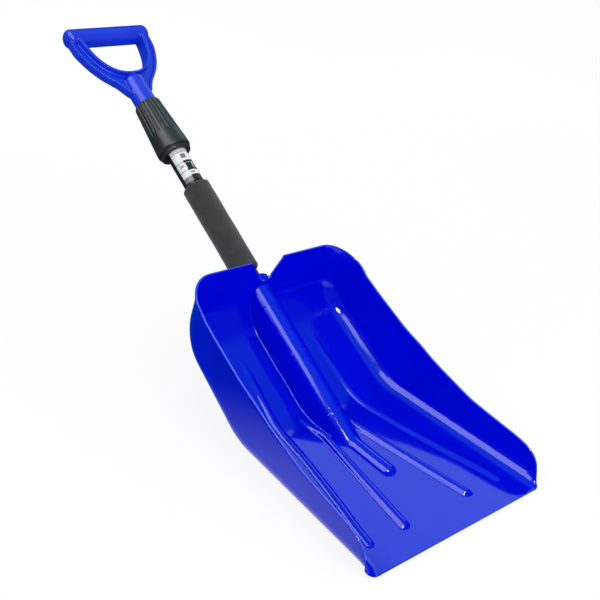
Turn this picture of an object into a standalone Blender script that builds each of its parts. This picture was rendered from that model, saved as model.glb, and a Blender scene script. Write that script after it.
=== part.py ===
"""Compact snow shovel: moulded scoop, telescoping twist-lock handle, D-grip.

Frame: metres, +Z up, +Y from the cutting edge back towards the grip, +X to the
right when looking along +Y.  The origin lies on the flat underside of the
scoop, on the plane of symmetry, ORIGIN_BACK behind the cutting edge.
All dimensions below are millimetres unless they say otherwise.

Scoop frame: x across, y behind the cutting edge, z above the upper face of the
flat floor.  "run" is the arc length along the floor centre line.
Handle frame: local Z runs up the handle, local -Y faces up and forward.
"along" is the distance up the handle axis from where it meets z = 0.
"""
import math
from collections import namedtuple

import bmesh
import bpy
import numpy as np
from mathutils import Matrix, Vector

MM = 0.001

# ------------------------------------------------------------------ scoop
ORIGIN_BACK = 70.0        # cutting edge is this far in front of the origin
WALL = 2.6                # moulded wall thickness
HALF_WIDTH = 139.6        # inside half width at the cutting edge
TAPER_Y = -0.0652         # side walls close in towards the back
TAPER_Z = 0.0495          # and lean out towards the rim
ALPHA = math.radians(27.8)    # slope of the floor ramp and of the handle
COS_A, SIN_A = math.cos(ALPHA), math.sin(ALPHA)
RAMP_START = 228.7        # where the ramp plane meets the flat floor
RAMP_BEND_R = 80.0        # bend from the flat floor to the ramp
BACK_Y = 354.0            # inside of the upright back wall
BACK_BEND_R = 59.0        # bend from the ramp to the back wall
TOP_Z = 141.4             # top edge of the back wall

# floor centre line: flat, bend, ramp, bend, back wall
FLAT_END = RAMP_START - RAMP_BEND_R * math.tan(ALPHA / 2)
RAMP_BEND_RUN = RAMP_BEND_R * ALPHA
RAMP_FOOT_Y = FLAT_END + RAMP_BEND_R * SIN_A
RAMP_FOOT_Z = RAMP_BEND_R * (1 - COS_A)
RAMP_HEAD_Y = BACK_Y - BACK_BEND_R * (1 - SIN_A)
RAMP_RUN = (RAMP_HEAD_Y - RAMP_FOOT_Y) / COS_A
RAMP_HEAD_Z = RAMP_FOOT_Z + RAMP_RUN * SIN_A
BACK_BEND_RUN = BACK_BEND_R * (math.pi / 2 - ALPHA)
BACK_FOOT_Z = RAMP_HEAD_Z + BACK_BEND_R * COS_A
FLOOR_RUN = (FLAT_END + RAMP_BEND_RUN + RAMP_RUN + BACK_BEND_RUN
             + TOP_Z - BACK_FOOT_Z)

# floor to side wall fillet: size on the floor, size in the back corner, and
# the (start, end) run over which one turns into the other
FLOOR_FILLET = 19.0
CORNER_ACROSS, CORNER_ACROSS_BLEND = 35.0, (335, 434)
CORNER_RISE, CORNER_RISE_BLEND = 42.9, (320, 420)
FILLET_STEPS = 5

# run along the floor, and the rim point (y, z) its section plane passes through
RIM = [(0, 9.8, 6.0), (5, 13.0, 19.0), (13, 21.0, 29.5), (26, 33.0, 36.0),
       (42, 46.0, 39.0), (80, 80.0, 43.0), (116, 116.0, 47.5),
       (150, 148.0, 55.5), (184, 180.0, 64.5), (214, 206.0, 74.0),
       (246, 228.0, 81.0), (290, 256.0, 92.5), (331, 280.0, 103.0),
       (362, 293.0, 109.0), (394, 304.5, 114.5), (434, 315.8, 121.3)]

# runs at which the scoop is sectioned; the last section is at FLOOR_RUN
STATIONS = [0.0, 4.0, 9.0, 17.0, 27.0, 28.2, 31.0, 34.0, 46.0, 62.0, 82.0,
            107.6, 109.2, 112.5, 118.0, 132.0, 147.0, 158.0, 167.0, 177.0,
            187.0, 195.0, 201.8, 202.4, 211.0, 222.0, 234.0, 248.0, 270.0,
            292.0, 312.0, 333.0, 344.0, 356.0, 370.0, 383.0, 394.0, 404.0,
            414.0, 424.0]

# ------------------------------------------------------------------ socket
AXIS_Y = 186.8            # where the handle axis meets z = 0
# distance along the handle axis, ridge outer radius
RIDGE_R = [(-60.0, 15.6), (24.0, 15.6), (28.0, 16.1), (98.0, 16.1),
           (104.0, 16.6), (170.0, 16.6), (173.0, 17.1), (260.0, 17.1)]
RIDGE_DRAFT = 1.5         # extra half width at the foot of the ridge webs
RIDGE_STEPS = 4           # points from the centre to the ridge side
RIDGE_LEAN_Y = (165.0, 205.0)     # ridge sides tilt to the handle slope here
MIN_HALF_UPPER, MIN_HALF_LOWER = 2.0, 1.4     # least half widths of the ridge
FOOT_STEP = 0.8           # least step from the lower channel to its foot
BORE_R = 13.0             # socket bore
BORE_END = 27.0           # closed end of the bore, along the axis
BORE_OVERRUN = 5.0        # bore cutter past the collar end
BORE_FLOOR = 15.7         # underside of the bore wall, below the axis
BORE_FLOOR_HALF = 12.2    # half width of that underside
BULKHEAD_Y = 202.0        # hollow nose in front, socket behind
COLLAR_R = 20.0           # collar standing out behind the back wall
COLLAR_END = 212.0
WALL_EMBED = 1.2          # collar and cheeks start this far inside the wall
CHEEK_INNER_X = 17.0
CHEEK_FOOT_Z, CHEEK_TOP_Z = 84.0, 139.5
# cheek outline behind the wall: (along, above) the handle axis
CHEEK_BACK = [(206.5, 13.0), (211.4, 9.0), (211.4, -9.0), (204.0, -12.0)]
# right half of the notch in the back wall: (x, z)
NOTCH = [(20.0, 150.0), (20.0, 127.0), (15.5, 116.5), (8.5, 110.2),
         (0.0, 108.6)]
NOTCH_REACH = 14.0        # notch cutter in front of the back wall
NOTCH_OVERRUN = 0.05      # and behind it
NOSE_FRONT = 107.7        # run at the front of the nose ahead of the ridge
NOSE_R = 10.0
NOSE_H = 8.5
NOSE_FADE = (188.0, 200.0)

# ------------------------------------------------------------------ ribs
# fade: the (start, end) run over which the rib sinks into the floor
Rib = namedtuple("Rib", "half_width height fade")
INNER_RIB = Rib(half_width=6.5, height=5.0, fade=(205.0, 240.0))
OUTER_RIB = Rib(half_width=5.5, height=3.4, fade=(250.0, 335.0))
RIB_START = 33.6
RIB_FRONT = RIB_START - INNER_RIB.half_width
# across the rib: (fraction of half width, fraction of height)
RIB_SECTION = [(-1, 0), (-0.62, 0.78), (0, 1), (0.62, 0.78), (1, 0)]
RIB_HOLLOW_INSET = 1.2    # the hollow below is narrower by this each side
RIB_GAP, RIB_SPREAD = 1.0, 0.9    # keep rib points clear of the ridge foot
INNER_RIB_GAP = 5.0       # least distance of the inner rib from the ridge foot
INNER_RIB_X, INNER_RIB_MIN_X, INNER_RIB_SLOPE = 52.0, 24.0, 0.18
OUTER_RIB_X, OUTER_RIB_FLARE, OUTER_RIB_POWER = 59.0, 50.0, 1.9
OUTER_RIB_START, OUTER_RIB_RUN = 33.0, 277.0

# ------------------------------------------------------------------ handle
# positions named BOTTOM or TOP are measured along the handle axis
TUBE_R, TUBE_BORE_R = 12.7, 11.5
TUBE_BOTTOM, TUBE_TOP = 31.0, 436.0
TUBE_PLUG_BOTTOM = TUBE_BOTTOM - 3.4
SLEEVE_BORE_R = 13.05     # foam and collet over the lower tube
FOAM_BOTTOM, FOAM_TOP, FOAM_R = 227.0, 358.0, 17.5
FOAM_LENGTH = FOAM_TOP - FOAM_BOTTOM
LABEL_BOTTOM, LABEL_TOP = 361.0, 399.0
LABEL_RADII = (13.02, 13.3)
LABEL_FROM, LABEL_TO = -62.0, 128.0      # degrees round the tube from local -Y
LABEL_STEPS = 26
STOP_RING_BORE_R, STOP_RING_R, STOP_RING_HEIGHT = 13.75, 15.9, 2.6
STOP_RING_BOTTOM = 408.9
COLLET_BOTTOM = 412.0
SLOT_SIZE = (40.0, 1.8, 24.0)     # cutter for the collet slots
SLOT_CENTRE = 50.0                # above the collet bottom
WEDGE_BOTTOM = 451.0
LOCK_COLLAR_BOTTOM = 398.0
WIPER_BOTTOM, WIPER_R, WIPER_SECTION_R = 469.2, 12.7, 1.25
INNER_R, INNER_BORE_R = 11.1, 10.1
INNER_BOTTOM, INNER_TOP = 150.0, 524.0
GUIDE_BOTTOM = INNER_BOTTOM - 6.4

# turned profiles: (radius, height above the bottom of the piece)
TUBE_PLUG_PROFILE = [(0, 0), (12.4, 0), (12.4, 3.0), (11.1, 3.0),
                     (11.1, 15.0), (10.4, 16.0), (0, 16.0)]
FOAM_PROFILE = [(SLEEVE_BORE_R, 0), (15.0, 0), (16.8, 1.0), (FOAM_R, 3.2),
                (FOAM_R, FOAM_LENGTH - 3.2), (16.8, FOAM_LENGTH - 1.0),
                (15.0, FOAM_LENGTH), (SLEEVE_BORE_R, FOAM_LENGTH)]
COLLET_PROFILE = [(SLEEVE_BORE_R, 0), (15.2, 0), (15.2, 34.0), (13.5, 36.0),
                  (13.0, 56.0), (11.45, 56.0), (11.45, 24.6),
                  (SLEEVE_BORE_R, 24.6)]
WEDGE_PROFILE = [(13.95, 0), (15.15, 0), (15.15, 15.0), (13.55, 15.0)]
LOCK_COLLAR_PROFILE = [
    (17.2, 0.0), (18.7, 0.0), (19.9, 2.2), (20.35, 8.0), (20.35, 15.0),
    (19.3, 38.0), (18.0, 66.0), (16.95, 88.6), (16.5, 91.3), (14.75, 91.3),
    (14.75, 80.5), (11.75, 80.5), (11.75, 74.2), (14.6, 74.2), (14.6, 69.0),
    (15.65, 69.0), (15.65, 14.6), (16.6, 14.6), (16.6, 3.0)]
GUIDE_PROFILE = [(0, 0), (10.6, 0), (11.15, 0.8), (11.15, 6.0), (9.75, 6.0),
                 (9.75, 19.0), (9.0, 20.0), (0, 20.0)]

# ------------------------------------------------------------------ D-grip
SHANK_R, SHANK_BOTTOM = 14.25, 481.6
SHANK_STRAIGHT, SHANK_DOME = 46.0, 9.0       # heights of cylinder and dome
GRIP_BORE_R, GRIP_BORE_TOP, GRIP_BORE_OVERRUN = 11.4, 526.0, 2.0
BAR_ALONG, BAR_R, BAR_HALF, BAR_CAP = 606.0, 12.5, 63.0, 7.0
WEB_HALF_DEPTH, FLANGE_HALF_DEPTH, RIBBON_HALF_DEPTH = 3.0, 5.6, 10.6
CURVE_POINTS, SPAN_STEPS = 19, 12

# right-hand half curves of the grip, from the centre up: (x, along)
OPENING = [(0, 538.6), (12, 540.2), (23, 545.4), (31.5, 554.0), (38.0, 564.5),
           (42.2, 577.5), (44.6, 588.0), (46.5, 600.0)]
RIBBON = [(0, 535.3), (13, 537.2), (25, 542.9), (34.4, 552.4), (41.2, 563.3),
          (45.8, 576.6), (48.6, 587.5), (51.5, 604.5)]
OUTER = [(0, 505.0), (14.4, 507.0), (21.0, 516.0), (26.5, 524.5),
         (33.5, 532.0), (42.0, 542.2), (50.0, 555.2), (56.5, 570.5),
         (60.3, 585.0), (60.5, 606.0)]
OUTER_IN = [(0, 509.5), (12.4, 511.5), (18.6, 519.0), (24.0, 527.2),
            (31.0, 534.6), (39.0, 544.6), (46.6, 557.2), (52.8, 572.0),
            (56.4, 585.6), (56.4, 601.0)]

# ------------------------------------------------------------------ screws
BLADE_SCREWS = (60.0, 120.0)      # along the handle axis
BLADE_SCREW_SEAT, BLADE_SCREW_LENGTH = 16.1, 8.0
GRIP_SCREW, GRIP_SCREW_SEAT, GRIP_SCREW_LENGTH = 503.0, 14.65, 6.5
SCREW_SHANK_R, SCREW_POINT_R, SCREW_POINT_LENGTH = 1.9, 1.0, 1.6
# pan head: (radius, height above the seat)
SCREW_HEAD = [(4.0, 0.0), (4.0, 0.9), (3.4, 1.9), (2.0, 2.3), (0, 2.3)]
SCREW_HOLE_R = 2.35
# hole cutters, (from, to) along local Y
BLADE_HOLE, TUBE_HOLE, GRIP_HOLE = (6.0, 22.0), (6.0, 16.0), (4.0, 20.0)


# ================================================================== helpers
def clear_scene():
    for ob in list(bpy.data.objects):
        bpy.data.objects.remove(ob, do_unlink=True)


def material(name, colour, roughness, metallic=0.0):
    mat = bpy.data.materials.new(name)
    mat.use_nodes = True
    inputs = mat.node_tree.nodes["Principled BSDF"].inputs
    inputs["Base Color"].default_value = (*colour, 1.0)
    inputs["Roughness"].default_value = roughness
    inputs["Metallic"].default_value = metallic
    return mat


def add_object(name, mesh, mat=None):
    ob = bpy.data.objects.new(name, mesh)
    bpy.context.scene.collection.objects.link(ob)
    if mat is not None:
        mesh.materials.append(mat)
    return ob


def finish_mesh(bm, name, smooth_deg=None):
    bmesh.ops.recalc_face_normals(bm, faces=bm.faces[:])
    mesh = bpy.data.meshes.new(name)
    bm.to_mesh(mesh)
    bm.free()
    if smooth_deg is not None:
        mesh.shade_smooth()
        mesh.set_sharp_from_angle(angle=math.radians(smooth_deg))
    return mesh


def spun(points, axis, segs, closed=False):
    """Spin a chain of (x, y, z) points round an axis through the origin."""
    bm = bmesh.new()
    verts = [bm.verts.new((x * MM, y * MM, z * MM)) for x, y, z in points]
    edges = [bm.edges.new(pair) for pair in zip(verts, verts[1:])]
    if closed:
        edges.append(bm.edges.new((verts[-1], verts[0])))
    bmesh.ops.spin(bm, geom=verts + edges, cent=(0, 0, 0), axis=axis,
                   angle=math.tau, steps=segs, use_merge=True)
    bmesh.ops.remove_doubles(bm, verts=bm.verts[:], dist=1e-6)
    return bm


def turned(name, profile, mat, segs=48, hollow=True):
    """Turned piece: profile of (radius, height) spun round local Z.
    A hollow profile is a closed loop clear of the axis; a solid one starts
    and ends on the axis."""
    bm = spun([(radius, 0.0, height) for radius, height in profile],
              (0, 0, 1), segs, closed=hollow)
    return add_object(name, finish_mesh(bm, name, 40), mat)


def pipe_profile(bore_radius, radius, length):
    return [(bore_radius, 0), (radius, 0), (radius, length),
            (bore_radius, length)]


def prism(name, outline, low, high, axis):
    """Outline extruded from low to high along an axis: Y reads the outline
    as (x, z), X reads it as (y, z)."""
    bm = bmesh.new()
    depth = (high - low) * MM
    if axis == "Y":
        verts = [bm.verts.new((a * MM, low * MM, b * MM)) for a, b in outline]
        step = Vector((0, depth, 0))
    else:
        verts = [bm.verts.new((low * MM, a * MM, b * MM)) for a, b in outline]
        step = Vector((depth, 0, 0))
    face = bm.faces.new(verts)
    extruded = bmesh.ops.extrude_face_region(bm, geom=[face])["geom"]
    moved = [item for item in extruded if isinstance(item, bmesh.types.BMVert)]
    bmesh.ops.translate(bm, verts=moved, vec=step)
    return add_object(name, finish_mesh(bm, name))


def combine(ob, other, operation):
    """Boolean with a hidden helper object."""
    other.hide_render = True
    other.display_type = "WIRE"
    mod = ob.modifiers.new(operation.lower() + "_" + other.name, "BOOLEAN")
    mod.operation = operation
    mod.solver = "EXACT"
    mod.object = other


def on_axis(ob, handle, along, y=0.0):
    """Stand a piece on the handle axis, or beside it at local y."""
    ob.parent = handle
    ob.location = (0.0, y * MM, along * MM)
    return ob


def clamp01(value):
    return min(1.0, max(0.0, value))


def smoothstep(start, end, x):
    t = clamp01((x - start) / (end - start))
    return t * t * (3 - 2 * t)


def lookup(table, x, column=1):
    return float(np.interp(x, [row[0] for row in table],
                           [row[column] for row in table]))


def half_chord(radius, offset):
    """Half the chord of a circle at an offset from its centre."""
    return math.sqrt(max(0.0, radius ** 2 - offset ** 2))


# ================================================================== scoop
def floor_line(run):
    """Floor centre line: (y, z, normal y, normal z)."""
    if run <= FLAT_END:
        return run, 0.0, 0.0, 1.0
    run -= FLAT_END
    if run <= RAMP_BEND_RUN:
        tilt = run / RAMP_BEND_R
        sin_t, cos_t = math.sin(tilt), math.cos(tilt)
        return (FLAT_END + RAMP_BEND_R * sin_t, RAMP_BEND_R * (1 - cos_t),
                -sin_t, cos_t)
    run -= RAMP_BEND_RUN
    if run <= RAMP_RUN:
        return (RAMP_FOOT_Y + run * COS_A, RAMP_FOOT_Z + run * SIN_A,
                -SIN_A, COS_A)
    run -= RAMP_RUN
    if run <= BACK_BEND_RUN:
        tilt = ALPHA + run / BACK_BEND_R
        sin_t, cos_t = math.sin(tilt), math.cos(tilt)
        return (RAMP_HEAD_Y + BACK_BEND_R * (sin_t - SIN_A),
                RAMP_HEAD_Z + BACK_BEND_R * (COS_A - cos_t), -sin_t, cos_t)
    run -= BACK_BEND_RUN
    return BACK_Y, BACK_FOOT_Z + run, -1.0, 0.0


def half_width(y, z):
    return HALF_WIDTH + TAPER_Y * y + TAPER_Z * z


def axis_rise(y, z):
    """Part of a (y, z) vector that is square to the handle axis, upwards."""
    return -y * SIN_A + z * COS_A


def along_axis(y, z):
    return (y - AXIS_Y) * COS_A + z * SIN_A


def nose_scale(run):
    """Nose size as a fraction: round front end, fading out at the back."""
    if run <= NOSE_FRONT:
        return 0.0
    front = half_chord(1.0, max(0.0, (NOSE_FRONT + NOSE_R - run) / NOSE_R))
    return front * (1 - smoothstep(*NOSE_FADE, run))


def ridge_section(run):
    """Socket ridge and nose, from the centre to the ridge foot."""
    y, z, normal_y, normal_z = floor_line(run)
    floor_above = axis_rise(y - AXIS_Y, z)
    normal_rise = axis_rise(normal_y, normal_z)
    lean = ALPHA * smoothstep(*RIDGE_LEAN_Y, y)
    lean_y, lean_z = -math.sin(lean), math.cos(lean)
    lean_rise = axis_rise(lean_y, lean_z)
    radius = lookup(RIDGE_R, along_axis(y, z))
    inner_radius = radius - WALL
    nose = nose_scale(run)
    nose_inner_r = NOSE_R - WALL

    ridge_half = half_chord(radius, max(0.0, floor_above))
    half_upper = max(ridge_half, NOSE_R * nose, MIN_HALF_UPPER)
    hollow = y < BULKHEAD_Y
    if hollow:
        half_lower = max(half_chord(inner_radius, max(0.0, floor_above)),
                         nose_inner_r * nose, MIN_HALF_LOWER)
    else:
        half_lower = BORE_FLOOR_HALF

    upper, lower = [], []
    for k in range(RIDGE_STEPS + 1):
        fraction = math.sin(k / RIDGE_STEPS * math.pi / 2)
        x = half_upper * fraction
        height = NOSE_H * nose * half_chord(1.0, x / NOSE_R)
        if ridge_half > MIN_HALF_UPPER:
            height = max(height,
                         (half_chord(radius, x) - floor_above) / lean_rise)
        upper.append((x, y + height * lean_y, z + height * lean_z))

        x = half_lower * fraction
        if hollow:
            height = max(
                (half_chord(inner_radius, x) - floor_above) / normal_rise,
                -WALL + NOSE_H * nose * half_chord(1.0, x / nose_inner_r))
        else:
            height = max(-WALL, (-BORE_FLOOR - floor_above) / normal_rise)
        lower.append((x, y + height * normal_y, z + height * normal_z))

    foot_upper = half_upper + RIDGE_DRAFT
    foot_lower = max(foot_upper - WALL, half_lower + FOOT_STEP)
    upper.append((foot_upper, y, z))
    lower.append((foot_lower, y - WALL * normal_y, z - WALL * normal_z))
    return upper, lower


def inner_rib_x(run):
    return max(INNER_RIB_MIN_X,
               INNER_RIB_X - INNER_RIB_SLOPE * (run - RIB_START))


def outer_rib_x(run):
    t = clamp01((run - OUTER_RIB_START) / OUTER_RIB_RUN)
    return OUTER_RIB_X + OUTER_RIB_FLARE * (1 - t) ** OUTER_RIB_POWER


def rib_height(run, rib):
    """Rib crest height along the floor: ball-nosed front end, slow fade."""
    front = 1.0
    if run < RIB_FRONT:
        front = 0.0
    elif run < RIB_FRONT + rib.half_width:
        front = half_chord(
            1.0, (RIB_FRONT + rib.half_width - run) / rib.half_width)
    return rib.height * front * (1 - smoothstep(*rib.fade, run))


def floor_section(run, foot_upper, foot_lower):
    """Floor with its two ribs, outwards from the ridge foot."""
    y, z, normal_y, normal_z = floor_line(run)
    upper, lower = [], []

    def add_point(x_upper, x_lower, height):
        upper.append((x_upper, y + height * normal_y, z + height * normal_z))
        height -= WALL
        lower.append((x_lower, y + height * normal_y, z + height * normal_z))

    def add_rib(rib, centre):
        crest = rib_height(run, rib)
        for across, rise in RIB_SECTION:
            gap = RIB_GAP + RIB_SPREAD * (across + 1)
            hollow_half = rib.half_width - RIB_HOLLOW_INSET
            add_point(max(centre + across * rib.half_width, foot_upper + gap),
                      max(centre + across * hollow_half, foot_lower + gap),
                      crest * rise)

    inner_x = max(inner_rib_x(run), foot_upper + INNER_RIB_GAP)
    outer_x = outer_rib_x(run)
    between = (inner_x + INNER_RIB.half_width
               + outer_x - OUTER_RIB.half_width) / 2
    add_rib(INNER_RIB, inner_x)
    add_point(between, between, 0.0)
    add_rib(OUTER_RIB, outer_x)
    return upper, lower


def side_section(run):
    """Fillet and side wall, from the floor up to the rim."""
    y, z, normal_y, normal_z = floor_line(run)
    rim_y, rim_z = lookup(RIM, run, 1) - y, lookup(RIM, run, 2) - z
    span = math.hypot(rim_y, rim_z)
    rim_y, rim_z = rim_y / span, rim_z / span
    across = FLOOR_FILLET + ((CORNER_ACROSS - FLOOR_FILLET)
                             * smoothstep(*CORNER_ACROSS_BLEND, run))
    rise = FLOOR_FILLET + ((CORNER_RISE - FLOOR_FILLET)
                           * smoothstep(*CORNER_RISE_BLEND, run))
    rise = min(rise, span)
    upper, lower = [], []
    for k in range(FILLET_STEPS + 1):
        angle = k / FILLET_STEPS * math.pi / 2
        sin_a, cos_a = math.sin(angle), math.cos(angle)
        up = rise * (1 - cos_a)
        side_y, side_z = y + up * rim_y, z + up * rim_z
        x = half_width(side_y, side_z) - across * (1 - sin_a)
        upper.append((x, side_y, side_z))
        lower.append((x + WALL * sin_a, side_y - WALL * normal_y * cos_a,
                      side_z - WALL * normal_z * cos_a))
    # two more points to the rim, at least 0.25 apart where the fillet fills
    # the whole wall
    step = (span - rise) / 2 if span - rise > 0.5 else 0.25
    for k in (1, 2):
        up = rise + step * k
        side_y, side_z = y + up * rim_y, z + up * rim_z
        x = half_width(side_y, side_z)
        upper.append((x, side_y, side_z))
        lower.append((x + WALL, side_y, side_z))
    return upper, lower


def scoop_row(run):
    """Right-hand half of a cross section, centre to rim: the upper and the
    lower skin as lists of (x, y, z)."""
    ridge = ridge_section(run)
    foot_upper, foot_lower = (skin[-1][0] for skin in ridge)
    ground = floor_section(run, foot_upper, foot_lower)
    side = side_section(run)
    return [ridge[skin] + ground[skin] + side[skin] for skin in (0, 1)]


def scoop_shell(mat):
    """Upper and lower skins lofted through the sections and joined round
    the edge."""
    rows = [scoop_row(run) for run in STATIONS + [FLOOR_RUN]]
    bm = bmesh.new()
    grids = []
    for skin in (0, 1):
        grid = []
        for row in rows:
            half = row[skin]
            full = [(-x, y, z) for x, y, z in reversed(half[1:])] + half
            grid.append([bm.verts.new((x * MM, (y - ORIGIN_BACK) * MM,
                                       (z + WALL) * MM)) for x, y, z in full])
        grids.append(grid)
    up, low = grids
    last_i, last_j = len(up) - 1, len(up[0]) - 1
    for i in range(last_i):
        for j in range(last_j):
            bm.faces.new((up[i][j], up[i][j + 1],
                          up[i + 1][j + 1], up[i + 1][j]))
            bm.faces.new((low[i][j], low[i + 1][j],
                          low[i + 1][j + 1], low[i][j + 1]))
    for i in range(last_i):
        for j in (0, last_j):
            bm.faces.new((up[i][j], up[i + 1][j], low[i + 1][j], low[i][j]))
    for j in range(last_j):
        for i in (0, last_i):
            bm.faces.new((up[i][j], low[i][j], low[i][j + 1], up[i][j + 1]))
    return add_object("blade", finish_mesh(bm, "blade", 45), mat)


def axis_point(along, above):
    """World (y, z) in mm of a point along and above the handle axis."""
    return (AXIS_Y + along * COS_A - above * SIN_A - ORIGIN_BACK,
            along * SIN_A + above * COS_A + WALL)


def axis_cylinder(name, radius, segs, phase, start, end):
    """Cylinder on the handle axis in world space.  start(above) gives where
    each side line begins; the far end is square."""
    bm = bmesh.new()
    base, top = [], []
    for k in range(segs):
        angle = math.tau * (k + phase) / segs
        x, above = radius * math.sin(angle), radius * math.cos(angle)
        for ring, along in ((base, start(above)), (top, end)):
            y, z = axis_point(along, above)
            ring.append(bm.verts.new((x * MM, y * MM, z * MM)))
    for k in range(segs):
        following = (k + 1) % segs
        bm.faces.new((base[k], base[following], top[following], top[k]))
    bm.faces.new(base)
    bm.faces.new(top)
    return add_object(name, finish_mesh(bm, name))


def add_collar(blade):
    """Collar behind the back wall: starts inside the wall, ends square."""
    collar = axis_cylinder(
        "collar_body", COLLAR_R, segs=32, phase=0.5,
        start=lambda above: (BACK_Y + WALL_EMBED - AXIS_Y
                             + above * SIN_A) / COS_A,
        end=COLLAR_END)
    combine(blade, collar, "UNION")


def add_cheeks(blade):
    """Cheeks from the notch down to the collar, right (+X) then left."""
    wall_y = BACK_Y + WALL_EMBED - ORIGIN_BACK
    outline = [(wall_y, CHEEK_FOOT_Z + WALL), (wall_y, CHEEK_TOP_Z + WALL)]
    outline += [axis_point(along, above) for along, above in CHEEK_BACK]
    outer_x = CHEEK_INNER_X + WALL
    for name, low, high in (("cheek_right", CHEEK_INNER_X, outer_x),
                            ("cheek_left", -outer_x, -CHEEK_INNER_X)):
        combine(blade, prism(name, outline, low, high, axis="X"), "UNION")


def cut_notch(blade):
    """Notch in the back wall above the socket."""
    outline = NOTCH + [(-x, z) for x, z in reversed(NOTCH[:-1])]
    cutter = prism("notch_cut", [(x, z + WALL) for x, z in outline],
                   BACK_Y - NOTCH_REACH - ORIGIN_BACK,
                   BACK_Y + WALL + NOTCH_OVERRUN - ORIGIN_BACK, axis="Y")
    combine(blade, cutter, "DIFFERENCE")


def cut_socket_bore(blade):
    cutter = axis_cylinder("bore_cut", BORE_R, segs=48, phase=0,
                           start=lambda above: BORE_END,
                           end=COLLAR_END + BORE_OVERRUN)
    combine(blade, cutter, "DIFFERENCE")


def make_scoop():
    blade = scoop_shell(material("blue_plastic", colour=(0.012, 0.03, 0.66),
                                 roughness=0.22))
    add_collar(blade)
    add_cheeks(blade)
    cut_notch(blade)
    cut_socket_bore(blade)
    return blade


# ================================================================== handle
def make_handle_axis():
    handle = bpy.data.objects.new("handle_axis", None)
    bpy.context.scene.collection.objects.link(handle)
    handle.location = (0, (AXIS_Y - ORIGIN_BACK) * MM, WALL * MM)
    handle.rotation_euler = (ALPHA - math.pi / 2, 0, 0)
    return handle


def make_lower_tube(handle):
    mat = material("black_tube_paint", colour=(0.012, 0.012, 0.013),
                   roughness=0.2, metallic=0.1)
    profile = pipe_profile(TUBE_BORE_R, TUBE_R, TUBE_TOP - TUBE_BOTTOM)
    return on_axis(turned("lower_tube", profile, mat), handle, TUBE_BOTTOM)


def make_lower_tube_plug(handle):
    mat = material("tube_plug_plastic", colour=(0.02, 0.02, 0.02),
                   roughness=0.55)
    plug = turned("lower_tube_plug", TUBE_PLUG_PROFILE, mat, segs=32,
                  hollow=False)
    on_axis(plug, handle, TUBE_PLUG_BOTTOM)


def make_foam(handle):
    mat = material("charcoal_foam", colour=(0.035, 0.034, 0.032),
                   roughness=0.9)
    on_axis(turned("foam_grip", FOAM_PROFILE, mat), handle, FOAM_BOTTOM)


def make_label(handle):
    """Thin film wrapped part of the way round the tube."""
    mat = material("label_film", colour=(0.62, 0.63, 0.64), roughness=0.3,
                   metallic=0.3)
    angles = [math.radians(LABEL_FROM + (LABEL_TO - LABEL_FROM)
                           * k / LABEL_STEPS) for k in range(LABEL_STEPS + 1)]
    bm = bmesh.new()
    in_low, in_high, out_low, out_high = [
        [bm.verts.new((radius * math.sin(angle) * MM,
                       -radius * math.cos(angle) * MM, z * MM))
         for angle in angles]
        for radius in LABEL_RADII for z in (0.0, LABEL_TOP - LABEL_BOTTOM)]
    for k in range(LABEL_STEPS):
        bm.faces.new((in_low[k], in_low[k + 1], in_high[k + 1], in_high[k]))
        bm.faces.new((out_low[k], out_high[k], out_high[k + 1], out_low[k + 1]))
        bm.faces.new((in_low[k], out_low[k], out_low[k + 1], in_low[k + 1]))
        bm.faces.new((in_high[k], in_high[k + 1],
                      out_high[k + 1], out_high[k]))
    for k in (0, LABEL_STEPS):
        bm.faces.new((in_low[k], in_high[k], out_high[k], out_low[k]))
    label = add_object("tube_label", finish_mesh(bm, "tube_label", 40), mat)
    on_axis(label, handle, LABEL_BOTTOM)


def make_collet(handle):
    """Skirt over the tube end, threaded barrel, four slotted fingers."""
    mat = material("black_nylon", colour=(0.02, 0.02, 0.02), roughness=0.5)
    collet = turned("collet", COLLET_PROFILE, mat)
    on_axis(collet, handle, COLLET_BOTTOM)
    for k in range(2):
        name = "collet_slot_%d" % (k + 1)
        turn = Matrix.Rotation(math.pi / 4 + k * math.pi / 2, 3, "Z")
        bm = bmesh.new()
        bmesh.ops.create_cube(bm, size=1.0)
        bmesh.ops.scale(bm, verts=bm.verts[:],
                        vec=[size * MM for size in SLOT_SIZE])
        bmesh.ops.rotate(bm, verts=bm.verts[:], cent=(0, 0, 0), matrix=turn)
        bmesh.ops.translate(bm, verts=bm.verts[:],
                            vec=(0, 0, SLOT_CENTRE * MM))
        slot = add_object(name, finish_mesh(bm, name))
        on_axis(slot, handle, COLLET_BOTTOM)
        combine(collet, slot, "DIFFERENCE")


def make_stop_ring(handle):
    mat = material("stop_ring_nylon", colour=(0.03, 0.03, 0.03),
                   roughness=0.45)
    profile = pipe_profile(STOP_RING_BORE_R, STOP_RING_R, STOP_RING_HEIGHT)
    on_axis(turned("collar_stop_ring", profile, mat), handle,
            STOP_RING_BOTTOM)


def make_wedge_ring(handle):
    mat = material("natural_nylon", colour=(0.62, 0.6, 0.54), roughness=0.5)
    on_axis(turned("wedge_ring", WEDGE_PROFILE, mat), handle, WEDGE_BOTTOM)


def make_lock_collar(handle):
    mat = material("black_sleeve_plastic", colour=(0.015, 0.015, 0.015),
                   roughness=0.38)
    collar = turned("lock_collar", LOCK_COLLAR_PROFILE, mat, segs=40)
    on_axis(collar, handle, LOCK_COLLAR_BOTTOM)


def make_wiper(handle):
    """Ring of round section inside the top of the lock collar."""
    mat = material("wiper_rubber", colour=(0.02, 0.02, 0.02), roughness=0.8)
    profile = [(WIPER_R - WIPER_SECTION_R * math.cos(angle),
                WIPER_SECTION_R + WIPER_SECTION_R * math.sin(angle))
               for angle in np.linspace(0, math.tau, 8, endpoint=False)]
    on_axis(turned("wiper_ring", profile, mat, segs=24), handle, WIPER_BOTTOM)


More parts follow.
